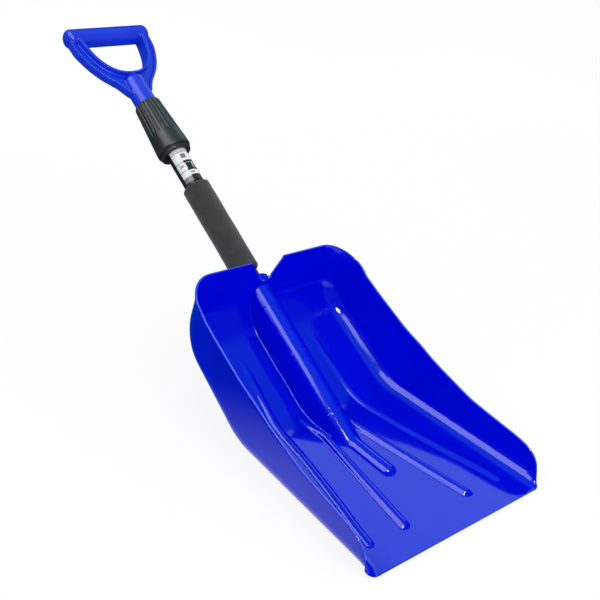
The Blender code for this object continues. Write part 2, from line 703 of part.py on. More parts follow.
def make_guide_plug(handle):
    mat = material("guide_nylon", colour=(0.6, 0.58, 0.52), roughness=0.5)
    guide = turned("guide_plug", GUIDE_PROFILE, mat, hollow=False)
    on_axis(guide, handle, GUIDE_BOTTOM)


def make_upper_tube(handle):
    mat = material("upper_tube_paint", colour=(0.014, 0.014, 0.015),
                   roughness=0.22, metallic=0.1)
    profile = pipe_profile(INNER_BORE_R, INNER_R, INNER_TOP - INNER_BOTTOM)
    return on_axis(turned("upper_tube", profile, mat), handle, INNER_BOTTOM)


# ================================================================== D-grip
def spline(points):
    """Catmull-Rom curve through 2-D points."""
    pts = [np.array(point, float) for point in points]
    pts = [2 * pts[0] - pts[1]] + pts + [2 * pts[-1] - pts[-2]]
    curve = []
    for a, b, c, d in zip(pts, pts[1:], pts[2:], pts[3:]):
        for k in range(SPAN_STEPS):
            t = k / SPAN_STEPS
            curve.append(0.5 * (2 * b + (c - a) * t
                                + (2 * a - 5 * b + 4 * c - d) * t * t
                                + (3 * b - a - 3 * c + d) * t ** 3))
    curve.append(pts[-2])
    return np.array(curve)


def resample(points):
    """CURVE_POINTS points evenly spaced along the spline."""
    curve = spline(points)
    lengths = np.hypot(*np.diff(curve, axis=0).T)
    arc = np.concatenate([[0], np.cumsum(lengths)])
    stops = np.linspace(0, arc[-1], CURVE_POINTS)
    return list(zip(np.interp(stops, arc, curve[:, 0]),
                    np.interp(stops, arc, curve[:, 1])))


def midway(first, second):
    return [((a[0] + b[0]) / 2, (a[1] + b[1]) / 2)
            for a, b in zip(first, second)]


def mirrored(curve):
    """Closed loop from a right-hand half curve that starts at x = 0."""
    right = [(float(x), float(z)) for x, z in curve]
    return right + [(-x, z) for x, z in reversed(right[1:])]


def plate(name, outer, inner, half_depth):
    """Flat ring between two closed half-curves, symmetric about local Y=0."""
    bm = bmesh.new()
    outer_1, inner_1, outer_2, inner_2 = [
        [bm.verts.new((x * MM, y * MM, (z - SHANK_BOTTOM) * MM))
         for x, z in mirrored(curve)]
        for y in (-half_depth, half_depth) for curve in (outer, inner)]
    count = len(outer_1)
    for k in range(count):
        n = (k + 1) % count
        bm.faces.new((outer_1[k], outer_1[n], inner_1[n], inner_1[k]))
        bm.faces.new((outer_2[k], inner_2[k], inner_2[n], outer_2[n]))
        bm.faces.new((outer_1[k], outer_2[k], outer_2[n], outer_1[n]))
        bm.faces.new((inner_1[k], inner_1[n], inner_2[n], inner_2[k]))
    return add_object(name, finish_mesh(bm, name))


def make_shank():
    """Shank, domed at the top and still solid."""
    mat = material("grip_blue_plastic", colour=(0.015, 0.045, 0.62),
                   roughness=0.32)
    profile = [(0, 0), (13.6, 0.0), (SHANK_R, 0.7), (SHANK_R, SHANK_STRAIGHT)]
    profile += [(SHANK_R * math.cos(angle),
                 SHANK_STRAIGHT + SHANK_DOME * math.sin(angle))
                for angle in np.radians([25, 50, 70])]
    profile.append((0, SHANK_STRAIGHT + SHANK_DOME))
    return turned("d_grip", profile, mat, hollow=False)


def make_grip_bar():
    """Hand bar along local X with rounded ends."""
    bar = [(0.0, -BAR_HALF)]
    bar += [(BAR_R * math.sin(angle),
             -BAR_HALF + BAR_CAP * (1 - math.cos(angle)))
            for angle in np.radians([25, 50, 72])]
    bar.append((BAR_R, -BAR_HALF + BAR_CAP))
    bar += [(radius, -x) for radius, x in reversed(bar)]
    bm = spun([(x, 0, radius) for radius, x in bar], (1, 0, 0), segs=32)
    bmesh.ops.translate(bm, verts=bm.verts[:],
                        vec=(0, 0, (BAR_ALONG - SHANK_BOTTOM) * MM))
    return add_object("grip_bar", finish_mesh(bm, "grip_bar"))


def make_grip_bore():
    """Cutter that bores the joined grip from below."""
    bore_top = GRIP_BORE_TOP - SHANK_BOTTOM
    return turned("grip_bore",
                  [(0, -GRIP_BORE_OVERRUN), (GRIP_BORE_R, -GRIP_BORE_OVERRUN),
                   (GRIP_BORE_R, bore_top), (0, bore_top)],
                  None, hollow=False)


def make_grip(handle):
    opening, ribbon = resample(OPENING), resample(RIBBON)
    outer, outer_in = resample(OUTER), resample(OUTER_IN)
    web = plate("grip_web", midway(outer, outer_in), midway(opening, ribbon),
                WEB_HALF_DEPTH)
    flange = plate("grip_flange", outer, outer_in, FLANGE_HALF_DEPTH)
    rim = plate("grip_ribbon", ribbon, opening, RIBBON_HALF_DEPTH)
    grip = on_axis(make_shank(), handle, SHANK_BOTTOM)
    for helper, operation in ((web, "UNION"), (flange, "UNION"),
                              (rim, "UNION"), (make_grip_bar(), "UNION"),
                              (make_grip_bore(), "DIFFERENCE")):
        on_axis(helper, handle, SHANK_BOTTOM)
        combine(grip, helper, operation)
    return grip


# ================================================================== screws
def make_screw(name, number, handle, along, seat, length):
    """Pan-head screw driven in from the underside of the handle (local +Y)."""
    mat = material("zinc_screw_%d" % number, colour=(0.55, 0.55, 0.53),
                   roughness=0.35, metallic=1.0)
    profile = [(0, -length), (SCREW_POINT_R, -length),
               (SCREW_SHANK_R, -length + SCREW_POINT_LENGTH),
               (SCREW_SHANK_R, 0.0)] + SCREW_HEAD
    bm = spun([(radius, y, 0) for radius, y in profile], (0, 1, 0), segs=16)
    screw = add_object(name, finish_mesh(bm, name, 40), mat)
    on_axis(screw, handle, along, y=seat)


def screw_hole(name, handle, along, reach):
    """Round cutter along local Y, square to the handle axis."""
    low, high = reach
    bm = bmesh.new()
    bmesh.ops.create_cone(bm, cap_ends=True, segments=16,
                          radius1=SCREW_HOLE_R * MM, radius2=SCREW_HOLE_R * MM,
                          depth=(high - low) * MM,
                          matrix=Matrix.Rotation(math.pi / 2, 4, "X"))
    bmesh.ops.translate(bm, verts=bm.verts[:],
                        vec=(0, (low + high) / 2 * MM, 0))
    return on_axis(add_object(name, finish_mesh(bm, name)), handle, along)


def fit_screws(handle, blade, tube, upper, grip):
    for number, along in enumerate(BLADE_SCREWS, start=1):
        make_screw("blade_screw_%d" % number, number, handle, along,
                   BLADE_SCREW_SEAT, BLADE_SCREW_LENGTH)
        combine(blade, screw_hole("blade_screw_hole_%d" % number, handle,
                                  along, BLADE_HOLE), "DIFFERENCE")
        combine(tube, screw_hole("tube_screw_hole_%d" % number, handle,
                                 along, TUBE_HOLE), "DIFFERENCE")
    make_screw("grip_screw", 3, handle, GRIP_SCREW, GRIP_SCREW_SEAT,
               GRIP_SCREW_LENGTH)
    hole = screw_hole("grip_screw_hole", handle, GRIP_SCREW, GRIP_HOLE)
    combine(grip, hole, "DIFFERENCE")
    combine(upper, hole, "DIFFERENCE")


# ================================================================== build
def build():
    clear_scene()
    blade = make_scoop()
    handle = make_handle_axis()

    # fixed lower handle
    tube = make_lower_tube(handle)
    make_lower_tube_plug(handle)
    make_foam(handle)
    make_label(handle)
    make_collet(handle)
    make_stop_ring(handle)

    # twist lock
    make_wedge_ring(handle)
    make_lock_collar(handle)
    make_wiper(handle)

    # sliding upper handle
    make_guide_plug(handle)
    upper = make_upper_tube(handle)
    grip = make_grip(handle)

    fit_screws(handle, blade, tube, upper, grip)
    bpy.context.view_layer.update()


build()
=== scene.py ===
"""Looks of the compact snow shovel: moulded scoop, D-grip, twist-lock sleeve,
foam grip, label, tubes and screws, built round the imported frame.

Sizes are in millimetres in the scoop's own frame: x across, y back from the
cutting edge, z up from the inside of the floor. to_frame() turns them into the
row frame in metres. The handle leans back along the scoop's ramp; pieces on it
are given by their distance along its axis and turned into place by HANDLE.
"""

import math

import bmesh
import bpy
import numpy as np
from mathutils import Matrix, Vector, noise
from mathutils.kdtree import KDTree


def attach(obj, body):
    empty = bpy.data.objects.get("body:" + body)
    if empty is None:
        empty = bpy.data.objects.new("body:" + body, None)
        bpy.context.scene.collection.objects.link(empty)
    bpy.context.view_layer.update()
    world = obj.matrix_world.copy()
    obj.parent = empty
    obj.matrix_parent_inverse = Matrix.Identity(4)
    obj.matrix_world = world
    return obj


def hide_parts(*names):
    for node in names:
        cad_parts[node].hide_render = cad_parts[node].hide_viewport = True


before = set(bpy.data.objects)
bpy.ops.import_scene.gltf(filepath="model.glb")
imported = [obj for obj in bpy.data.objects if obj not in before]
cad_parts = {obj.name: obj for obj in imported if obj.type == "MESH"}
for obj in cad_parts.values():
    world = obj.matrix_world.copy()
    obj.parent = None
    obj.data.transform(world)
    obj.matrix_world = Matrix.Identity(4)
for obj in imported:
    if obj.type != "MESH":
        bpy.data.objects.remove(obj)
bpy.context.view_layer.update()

MM = 0.001
ORIGIN_BACK = 70.0          # y of the row frame's origin
WALL = 2.6                  # thickness of the scoop

# handle
AXIS_Y = 186.8              # where the handle axis meets the floor plane
RAMP_ANGLE = math.radians(27.8)
RAMP_COS, RAMP_SIN = math.cos(RAMP_ANGLE), math.sin(RAMP_ANGLE)
HOLE_R = 2.35
SOCKET_SCREWS = (60.0, 120.0)
SHANK_SCREW = 503.0

# handle axes: X across, Y towards the back and down, Z up along the handle
HANDLE = Matrix(((1, 0, 0, 0),
                 (0, RAMP_SIN, RAMP_COS, (AXIS_Y - ORIGIN_BACK) * MM),
                 (0, -RAMP_COS, RAMP_SIN, WALL * MM),
                 (0, 0, 0, 1)))


# ================================================================ helpers
def to_frame(x, y, z):
    return (x * MM, (y - ORIGIN_BACK) * MM, (z + WALL) * MM)


def above_axis(y, z):
    """Part of a (y, z) direction that points squarely up from the handle axis."""
    return -y * RAMP_SIN + z * RAMP_COS


def along_axis(y, z):
    """Part of a (y, z) direction that runs up along the handle axis."""
    return y * RAMP_COS + z * RAMP_SIN


def on_handle(x, along, above):
    """Across, along and above the handle axis, into the row frame."""
    return to_frame(x, AXIS_Y + along * RAMP_COS - above * RAMP_SIN,
                    along * RAMP_SIN + above * RAMP_COS)


def smoothstep(start, end, x):
    t = min(1.0, max(0.0, (x - start) / (end - start)))
    return t * t * (3 - 2 * t)


def smooth_max(first, second, width):
    """Largest of two values with a soft corner of the given width."""
    blend = max(width - abs(first - second), 0.0) / width
    return max(first, second) + blend * blend * width * 0.25


def lookup(table, x):
    """Straight-line interpolation in a table of (x, value)."""
    xs, values = zip(*table)
    return float(np.interp(x, xs, values))


def monotone(xs, ys, x):
    """Smooth interpolation that keeps to the table's own trend."""
    i = int(np.clip(np.searchsorted(xs, x) - 1, 0, len(xs) - 2))
    step = np.diff(xs)
    rate = np.diff(ys) / step

    def slope(k):
        if k == 0:
            return rate[0]
        if k == len(xs) - 1:
            return rate[-1]
        if rate[k - 1] * rate[k] <= 0:
            return 0.0
        before, after = 2 * step[k] + step[k - 1], step[k] + 2 * step[k - 1]
        return (before + after) / (before / rate[k - 1] + after / rate[k])

    t = (x - xs[i]) / step[i]
    leave, arrive = slope(i) * step[i], slope(i + 1) * step[i]
    return ((2 * t ** 3 - 3 * t ** 2 + 1) * ys[i] + (t ** 3 - 2 * t ** 2 + t) * leave
            + (-2 * t ** 3 + 3 * t ** 2) * ys[i + 1] + (t ** 3 - t ** 2) * arrive)


def shade(ob, degrees):
    """Smooth shading, with edges sharper than the angle kept sharp."""
    ob.data.shade_smooth()
    ob.data.set_sharp_from_angle(angle=math.radians(degrees))


def new_object(name, bm, smooth=None):
    bmesh.ops.recalc_face_normals(bm, faces=bm.faces[:])
    mesh = bpy.data.meshes.new(name)
    bm.to_mesh(mesh)
    bm.free()
    ob = bpy.data.objects.new(name, mesh)
    bpy.context.scene.collection.objects.link(ob)
    if smooth is not None:
        shade(ob, smooth)
    return ob


def apply_modifiers(ob):
    depsgraph = bpy.context.evaluated_depsgraph_get()
    mesh = bpy.data.meshes.new_from_object(ob.evaluated_get(depsgraph))
    ob.modifiers.clear()
    old = ob.data
    ob.data = mesh
    bpy.data.meshes.remove(old)


def boolean(ob, other, operation):
    """Join or cut ob with another solid, which is used up."""
    mod = ob.modifiers.new("cut", "BOOLEAN")
    mod.operation = operation
    mod.solver = "EXACT"
    mod.object = other
    apply_modifiers(ob)
    bpy.data.objects.remove(other, do_unlink=True)


def lathe(name, profile, segs=96, smooth=35, shaper=None):
    """Closed profile of (radius, distance along) turned round the handle axis.
    shaper(radius, along, angle) may change the radius further."""
    bm = bmesh.new()
    rings = []
    for k in range(segs):
        angle = math.tau * k / segs
        ring = []
        for radius, along in profile:
            shaped = shaper(radius, along, angle) if shaper else radius
            ring.append(bm.verts.new((shaped * math.sin(angle) * MM,
                                      -shaped * math.cos(angle) * MM, along * MM)))
        rings.append(ring)
    count = len(profile)
    for k in range(segs):
        this, after = rings[k], rings[(k + 1) % segs]
        for j in range(count):
            j2 = (j + 1) % count
            bm.faces.new((this[j], after[j], after[j2], this[j2]))
    bmesh.ops.transform(bm, matrix=HANDLE, verts=bm.verts[:])
    return new_object(name, bm, smooth)


def add_turned(bm, profile, axis, origin=(0, 0, 0), segs=96):
    """Solid of revolution round a local axis; the profile of (radius,
    distance) runs from pole to pole."""
    rings = []
    for radius, distance in profile:
        ring = []
        for k in range(1 if radius <= 1e-6 else segs):
            angle = math.tau * k / segs
            point = [radius * math.cos(angle), radius * math.sin(angle)]
            point.insert("XYZ".index(axis), distance)
            ring.append(bm.verts.new([(point[i] + origin[i]) * MM for i in range(3)]))
        rings.append(ring)
    for low, high in zip(rings[:-1], rings[1:]):
        for k in range(segs):
            this, after = k, (k + 1) % segs
            if axis == "Y":         # its circle runs the other way round
                this, after = after, this
            if len(low) == 1:
                bm.faces.new((low[0], high[after], high[this]))
            elif len(high) == 1:
                bm.faces.new((low[this], low[after], high[0]))
            else:
                bm.faces.new((low[this], low[after], high[after], high[this]))


def prism(name, corners, shift):
    """Flat outline in the row frame, drawn out by a shift."""
    bm = bmesh.new()
    face = bm.faces.new([bm.verts.new(corner) for corner in corners])
    out = bmesh.ops.extrude_face_region(bm, geom=[face])
    moved = [v for v in out["geom"] if isinstance(v, bmesh.types.BMVert)]
    bmesh.ops.translate(bm, verts=moved, vec=shift)
    return new_object(name, bm)


def drill_bit(along, near, far, matrix=HANDLE):
    """Screw-hole cylinder across the handle, on its back and lower side."""
    bm = bmesh.new()
    bmesh.ops.create_cone(bm, cap_ends=True, segments=32, radius1=HOLE_R * MM,
                          radius2=HOLE_R * MM, depth=(far - near) * MM,
                          matrix=Matrix.Rotation(math.pi / 2, 4, "X"))
    bmesh.ops.translate(bm, verts=bm.verts[:],
                        vec=(0, (near + far) / 2 * MM, along * MM))
    if matrix:
        bmesh.ops.transform(bm, matrix=matrix, verts=bm.verts[:])
    return new_object("drill", bm)


def place(ob, body, piece, mat):
    """Hang the object on its body in place of a CAD piece."""
    ob.data.materials.clear()
    ob.data.materials.append(mat)
    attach(ob, body)
    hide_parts(piece)


# ======================================================== shader node helpers
def feed(tree, target, inputs):
    """Fill a node's inputs: sockets are linked, RGB triples get an alpha."""
    for key, value in inputs.items():
        if isinstance(value, bpy.types.NodeSocket):
            tree.links.new(value, target.inputs[key])
        else:
            if isinstance(value, tuple):
                value = (*value, 1)
            target.inputs[key].default_value = value


def node(tree, kind, inputs=None, **props):
    made = tree.nodes.new("ShaderNode" + kind)
    for key, value in props.items():
        setattr(made, key, value)
    feed(tree, made, inputs or {})
    return made


def base_material(name):
    mat = bpy.data.materials.new(name)
    mat.use_nodes = True
    tree = mat.node_tree
    return mat, tree, tree.nodes["Principled BSDF"], node(tree, "TexCoord").outputs["Object"]


def noise_value(tree, coords, scale, detail, rough):
    return node(tree, "TexNoise", {"Scale": scale, "Detail": detail, "Roughness": rough,
                                   "Vector": coords}).outputs["Fac"]


def map_range(tree, value, span, to=(0.0, 1.0), **props):
    return node(tree, "MapRange", {"From Min": span[0], "From Max": span[1],
                                   "To Min": to[0], "To Max": to[1],
                                   "Value": value}, **props).outputs["Result"]


def mix_colour(tree, factor, first, second, **props):
    return node(tree, "Mix", {"Factor": factor, "A": first, "B": second},
                data_type="RGBA", **props).outputs["Result"]


def calculate(tree, operation, *values):
    return node(tree, "Math", dict(enumerate(values)), operation=operation).outputs[0]


def bump(tree, height, distance, strength=1.0, normal=None):
    inputs = {"Strength": strength, "Distance": distance, "Height": height}
    if normal is not None:
        inputs["Normal"] = normal
    return node(tree, "Bump", inputs).outputs["Normal"]


def grey(level):
    return (level, level, level)


# ============================================================== materials
def moulded(name, light, dark, rough, spread, grain, grain_scale=2500.0, wave=0.0,
            wave_scale=0.0, metallic=0.0, sheen=0.0):
    """Moulded plastic, paint or metal: faint colour drift, uneven gloss, a fine
    grain and sometimes a slow waviness. grain and wave are depths in metres."""
    mat, tree, shader, coords = base_material(name)
    drift = noise_value(tree, coords, scale=22.0, detail=3.0, rough=0.55)
    gloss = noise_value(tree, coords, scale=70.0, detail=5.0, rough=0.6)
    normal = None
    if wave:
        slow = noise_value(tree, coords, scale=wave_scale, detail=1.0, rough=0.4)
        normal = bump(tree, slow, wave)
    fine = noise_value(tree, coords, scale=grain_scale, detail=2.0, rough=0.5)
    feed(tree, shader, {
        "Base Color": mix_colour(tree, map_range(tree, drift, span=(0.35, 0.65)),
                                 dark, light),
        "Roughness": map_range(tree, gloss, span=(0.3, 0.7),
                               to=(rough - spread, rough + spread)),
        "Normal": bump(tree, fine, grain, normal=normal),
        "IOR": 1.5,
        "Specular IOR Level": 0.5,
        "Metallic": metallic,
        "Sheen Weight": sheen})
    return mat


def dark_moulded(*args, **options):
    """Moulded black with slightly warm highlights."""
    mat = moulded(*args, **options)
    tree = mat.node_tree
    feed(tree, tree.nodes["Principled BSDF"], {"Specular Tint": (1.0, 0.92, 0.89)})
    return mat


def scoop_material():
    mat = moulded("scoop_blue", light=(0.0, 0.002, 0.77), dark=(0.0, 0.0015, 0.72),
                  rough=0.085, spread=0.015, grain=0.000003, grain_scale=3000.0,
                  wave=0.00012, wave_scale=9.0)
    tree = mat.node_tree
    shader = tree.nodes["Principled BSDF"]
    skin = {key: shader.inputs[key].links[0].from_socket
            for key in ("Roughness", "Base Color")}
    # faces that look down keep a slightly duller skin
    normal = node(tree, "NewGeometry").outputs["Normal"]
    upward = node(tree, "SeparateXYZ", {"Vector": normal}).outputs["Z"]
    under = map_range(tree, upward, span=(-0.9, -0.3), to=(0.16, 0.0))
    # painted highlight: the thin rounded rim is painted paler than the skin, standing in for
    # the light it catches
    edge = node(tree, "Attribute", attribute_name="rim_highlight_mask").outputs["Fac"]
    painted_rim_highlight = map_range(tree, edge, span=(0.25, 1.0), to=(0.0, 0.75))
    feed(tree, shader, {
        "Roughness": calculate(tree, "ADD", skin["Roughness"], under),
        "Base Color": mix_colour(tree, painted_rim_highlight, skin["Base Color"],
                                 (0.085, 0.155, 0.96))})
    return mat


def foam_material():
    """Closed-cell foam: dark, dull and pitted."""
    mat, tree, shader, coords = base_material("foam_cells")
    cells = node(tree, "TexVoronoi", {"Scale": 900.0, "Vector": coords}).outputs["Distance"]
    soft = noise_value(tree, coords, scale=60.0, detail=4.0, rough=0.6)
    fine = noise_value(tree, coords, scale=1400.0, detail=3.0, rough=0.6)
    skin = mix_colour(tree, map_range(tree, soft, span=(0.3, 0.7)),
                      (0.021, 0.0207, 0.0198), (0.038, 0.0375, 0.036))
    pores = map_range(tree, cells, span=(0.0, 0.55), to=(0.62, 1.0))
    pits = bump(tree, cells, distance=0.0003, strength=0.8)
    feed(tree, shader, {
        "Base Color": mix_colour(tree, 1.0, skin, pores, blend_type="MULTIPLY"),
        "Roughness": 0.92,
        "Specular IOR Level": 0.25,
        "Sheen Weight": 0.25,
        "Sheen Roughness": 0.6,
        "Normal": bump(tree, fine, distance=0.00015, strength=0.8, normal=pits)})
    return mat


# printed blocks: mm along the handle from and to, degrees round it from and
# to, colour; later ones cover earlier ones
LABEL_BLOCKS = [
    (403.6, 404.6, -90, 140, grey(0.32)),
    (394.4, 401.0, -26, 2, grey(0.22)),
    (388.7, 390.1, -90, -28, grey(0.36)),
    (387.6, 391.0, -28, 140, grey(0.02)),
    (382.4, 386.0, -62, -36, grey(0.36)),
    (378.6, 387.2, -24, 14, grey(0.02)),
    (379.6, 386.6, 18, 60, grey(0.16)),
    (376.4, 377.6, -90, -26, grey(0.30)),
    (375.8, 379.0, -26, 140, grey(0.02)),
    (371.4, 373.8, -20, 6, grey(0.30)),
    (360.0, 368.2, -90, -26, (0.26, 0.26, 0.265)),
    (360.0, 369.2, -26, 140, grey(0.02)),
]


def label_material():
    """Pale film with printed blocks, placed by the mesh attributes 'along'
    (mm along the handle) and 'around' (degrees)."""
    mat, tree, shader, coords = base_material("label_bands")
    along = node(tree, "Attribute", attribute_name="along").outputs["Fac"]
    around = node(tree, "Attribute", attribute_name="around").outputs["Fac"]

    def window(value, start, end, soft):
        """1 between start and end, with soft edges."""
        rise = map_range(tree, value, span=(start - soft, start + soft))
        fall = map_range(tree, value, span=(end - soft, end + soft), to=(1.0, 0.0))
        return calculate(tree, "MULTIPLY", rise, fall)

    film = node(tree, "RGB")
    film.outputs[0].default_value = (0.93, 0.93, 0.92, 1)
    colour = film.outputs["Color"]
    for low, high, left, right, ink in LABEL_BLOCKS:
        inside = calculate(tree, "MULTIPLY", window(along, low, high, soft=0.18),
                           window(around, left, right, soft=1.0))
        colour = mix_colour(tree, inside, colour, ink)
    gloss = noise_value(tree, coords, scale=300.0, detail=3.0, rough=0.6)
    feed(tree, shader, {
        "Base Color": colour,
        "Roughness": map_range(tree, gloss, span=(0.3, 0.7), to=(0.18, 0.34)),
        "Specular IOR Level": 0.3})
    return mat


SCOOP_BLUE = scoop_material()
GRIP_BLUE = moulded("grip_blue", light=(0.0, 0.034, 0.80), dark=(0.0, 0.026, 0.73),
                    rough=0.31, spread=0.03, grain=0.00001, grain_scale=1800.0,
                    wave=0.0002, wave_scale=40.0)
TUBE_BLACK = dark_moulded("tube_black", light=(0.014, 0.014, 0.015),
                          dark=(0.009, 0.009, 0.010), rough=0.2, spread=0.04,
                          grain=0.000006, grain_scale=1500.0)
UPPER_BLACK = moulded("upper_tube_black", light=(0.015, 0.015, 0.016),
                      dark=(0.010, 0.010, 0.011), rough=0.22, spread=0.04,
                      grain=0.000006, grain_scale=1500.0)
SLEEVE_BLACK = dark_moulded("sleeve_black", light=(0.025, 0.024, 0.024),
                            dark=(0.018, 0.017, 0.017), rough=0.36, spread=0.04,
                            grain=0.00002, grain_scale=2200.0)
NYLON_BLACK = moulded("nylon_black", light=grey(0.022), dark=grey(0.015),
                      rough=0.48, spread=0.05, grain=0.00002)
RING_BLACK = moulded("stop_ring_black", light=grey(0.03), dark=grey(0.02),
                     rough=0.42, spread=0.05, grain=0.00002)
WEDGE_NATURAL = moulded("nylon_natural", light=(0.62, 0.60, 0.53),
                        dark=(0.55, 0.53, 0.46), rough=0.48, spread=0.05, grain=0.00002)
GUIDE_NATURAL = moulded("guide_natural", light=(0.60, 0.58, 0.51),
                        dark=(0.53, 0.51, 0.44), rough=0.48, spread=0.05, grain=0.00002)
PLUG_BLACK = moulded("plug_black", light=grey(0.022), dark=grey(0.016),
                     rough=0.55, spread=0.05, grain=0.00003)
WIPER_RUBBER = moulded("wiper_rubber", light=grey(0.018), dark=grey(0.012),
                       rough=0.8, spread=0.05, grain=0.00004, sheen=0.1)
ZINC_STEEL = moulded("zinc_steel", light=(0.58, 0.58, 0.56), dark=(0.46, 0.46, 0.45),
                     rough=0.34, spread=0.06, metallic=1.0, grain=0.00001)
FOAM = foam_material()
LABEL = label_material()


# ============================================================ scoop: sizes
# "run" is the arc length along the floor's centre line from the cutting edge
HALF_WIDTH = 139.6                      # at the cutting edge, inside
TAPER_Y, TAPER_Z = -0.0652, 0.0495      # change of half width per mm of y and z
RAMP_START = 228.7                      # where the floor and ramp planes meet
RAMP_BEND_R = 80.0
BACK_Y = 354.0
BACK_BEND_R = 59.0
TOP_Z = 141.4
FIRST_RUN = 0.4                         # the rounding of the cutting edge

# (run, y, z) of the side wall's rim
RIM = [(0, 9.8, 1.6), (5, 13.0, 19.0), (13, 21.0, 29.5), (26, 33.0, 36.0),
       (42, 46.0, 39.0), (80, 80.0, 43.0), (116, 116.0, 47.5),
       (150, 148.0, 55.5), (184, 180.0, 64.5), (214, 206.0, 74.0),
       (246, 228.0, 81.0), (290, 256.0, 92.5), (331, 280.0, 103.0),
       (362, 293.0, 109.0), (394, 304.5, 114.5), (434, 315.8, 121.3)]
RIM_RUN, RIM_Y, RIM_Z = np.array(RIM, float).T

# socket ridge: (distance along the handle, radius), steps and round beads
RIDGE_RADII = [(-60.0, 15.35), (28.4, 15.6), (29.0, 16.0), (96.6, 16.1),
               (97.2, 16.55), (171.4, 16.65), (172.0, 17.1), (260.0, 17.1)]
RIDGE_STEPS = [28.7, 96.9, 171.7]
RIDGE_BEADS = [(22.0, 0.22), (104.6, 0.22)]     # (distance along, height)
BEAD_WIDTH = 0.55
RIDGE_DRAFT = 1.5
BORE_R, BORE_START, BORE_FLOOR = 13.0, 27.0, 15.7
COLLAR_R, COLLAR_END = 20.0, 212.0
COLLAR_SEAT = BACK_Y + 1.2              # y inside the wall where the collar starts
NOSE_START, NOSE_R, NOSE_H = 101.8, 10.2, 6.8   # low nose in front of the ridge
BULKHEAD_Y = 202.0                      # the ridge is hollow in front of this
SOLID_HALF = 12.2                       # half width of the solid part's underside
NO_SURFACE = -9.0                       # height where ridge or nose is absent

# right half of the notch in the back wall: (x, z)
NOTCH = [(26.2, 150.0), (25.4, 141.0), (24.2, 138.6), (9.0, 117.0), (6.6, 114.2),
         (4.0, 112.6), (0.0, 112.0)]
NOTCH_FRONT = 14.0                      # how far the cut reaches before the wall

RIB_FRONT = 32.4
# outer rib: (run, x of its centre line)
OUTER_RIB = [(20.0, 108.0), (60.0, 99.6), (90.0, 91.6), (130.0, 81.8),
             (170.0, 73.0), (230.0, 63.8), (310.0, 59.0), (400.0, 57.0)]
OUTER_RIB_RUN, OUTER_RIB_X = zip(*OUTER_RIB)

# columns of the half section, from the centre to the rim
ARCH_COLS, WEB_COLS, RIB_COLS, GAP_COLS = 20, 11, 18, 5
SIDE_COLS, FILLET_COLS, WALL_COLS = 9, 16, 12
WEB_DRAFT_COLS = 4

# (run, step to the next section)
STATION_STEPS = [
    (0, 0.7), (8, 1.2), (24, 1.2), (29, 0.8), (32, 0.5), (41, 0.8), (48, 2.2), (97, 2.2),
    (102, 1.0), (104, 0.45), (116, 0.8), (122, 2.0), (160, 2.0), (166, 1.0), (212, 1.0),
    (216, 0.7), (228, 0.7), (232, 2.0), (286, 2.0), (290, 0.9), (300, 0.9), (304, 2.0),
    (360, 2.0), (434, 2.0)]

# centre line: flat floor, bend, ramp, back bend, upright back wall
FLAT_LENGTH = RAMP_START - RAMP_BEND_R * math.tan(RAMP_ANGLE / 2)
BEND_LENGTH = RAMP_BEND_R * RAMP_ANGLE
RAMP_FOOT_Y = FLAT_LENGTH + RAMP_BEND_R * RAMP_SIN
RAMP_FOOT_Z = RAMP_BEND_R * (1 - RAMP_COS)
RAMP_TOP_Y = BACK_Y - BACK_BEND_R * (1 - RAMP_SIN)
RAMP_LENGTH = (RAMP_TOP_Y - RAMP_FOOT_Y) / RAMP_COS
RAMP_TOP_Z = RAMP_FOOT_Z + RAMP_LENGTH * RAMP_SIN
BACK_BEND_LENGTH = BACK_BEND_R * (math.pi / 2 - RAMP_ANGLE)
FLOOR_LENGTH = (FLAT_LENGTH + BEND_LENGTH + RAMP_LENGTH + BACK_BEND_LENGTH
                + TOP_Z - RAMP_TOP_Z - BACK_BEND_R * RAMP_COS)


# ========================================================= scoop: sections
def floor_line(run):
    """Floor centre line: (y, z, tilt of the normal forwards from +Z)."""
    if run <= FLAT_LENGTH:
        return run, 0.0, 0.0
    run -= FLAT_LENGTH
    if run <= BEND_LENGTH:
        turn = run / RAMP_BEND_R
        return (FLAT_LENGTH + RAMP_BEND_R * math.sin(turn),
                RAMP_BEND_R * (1 - math.cos(turn)), turn)
    run -= BEND_LENGTH
    if run <= RAMP_LENGTH:
        return RAMP_FOOT_Y + run * RAMP_COS, RAMP_FOOT_Z + run * RAMP_SIN, RAMP_ANGLE
    run -= RAMP_LENGTH
    if run <= BACK_BEND_LENGTH:
        turn = RAMP_ANGLE + run / BACK_BEND_R
        return (RAMP_TOP_Y + BACK_BEND_R * (math.sin(turn) - RAMP_SIN),
                RAMP_TOP_Z + BACK_BEND_R * (RAMP_COS - math.cos(turn)), turn)
    run -= BACK_BEND_LENGTH
    return BACK_Y, RAMP_TOP_Z + BACK_BEND_R * RAMP_COS + run, math.pi / 2


def floor_thickness(run):
    """Thin at the cutting edge, even further back."""
    return WALL - 1.9 * max(0.0, 1 - run / 5.0)


def side_thickness(run):
    """The side wall thins out towards the front corner."""
    return WALL - 1.8 * (1 - smoothstep(-2.0, 16.0, run))


def half_width(y, z):
    return HALF_WIDTH + TAPER_Y * y + TAPER_Z * z


def inner_rib_x(run):
    """The inner ribs draw in towards the back."""
    return max(24.0, 52.0 - 0.18 * (run - 33.6))


def outer_rib_x(run):
    return monotone(OUTER_RIB_RUN, OUTER_RIB_X, min(399.0, max(20.5, run)))


def fillet_width(run):
    """Reach across of the fillet between floor and side wall."""
    return 19.0 - 8.5 * (1 - smoothstep(0, 20, run)) + 16.0 * smoothstep(335, 434, run)


def fillet_rise(run):
    """Reach of the same fillet up the side wall."""
    return 19.0 + 23.9 * smoothstep(320, 420, run)


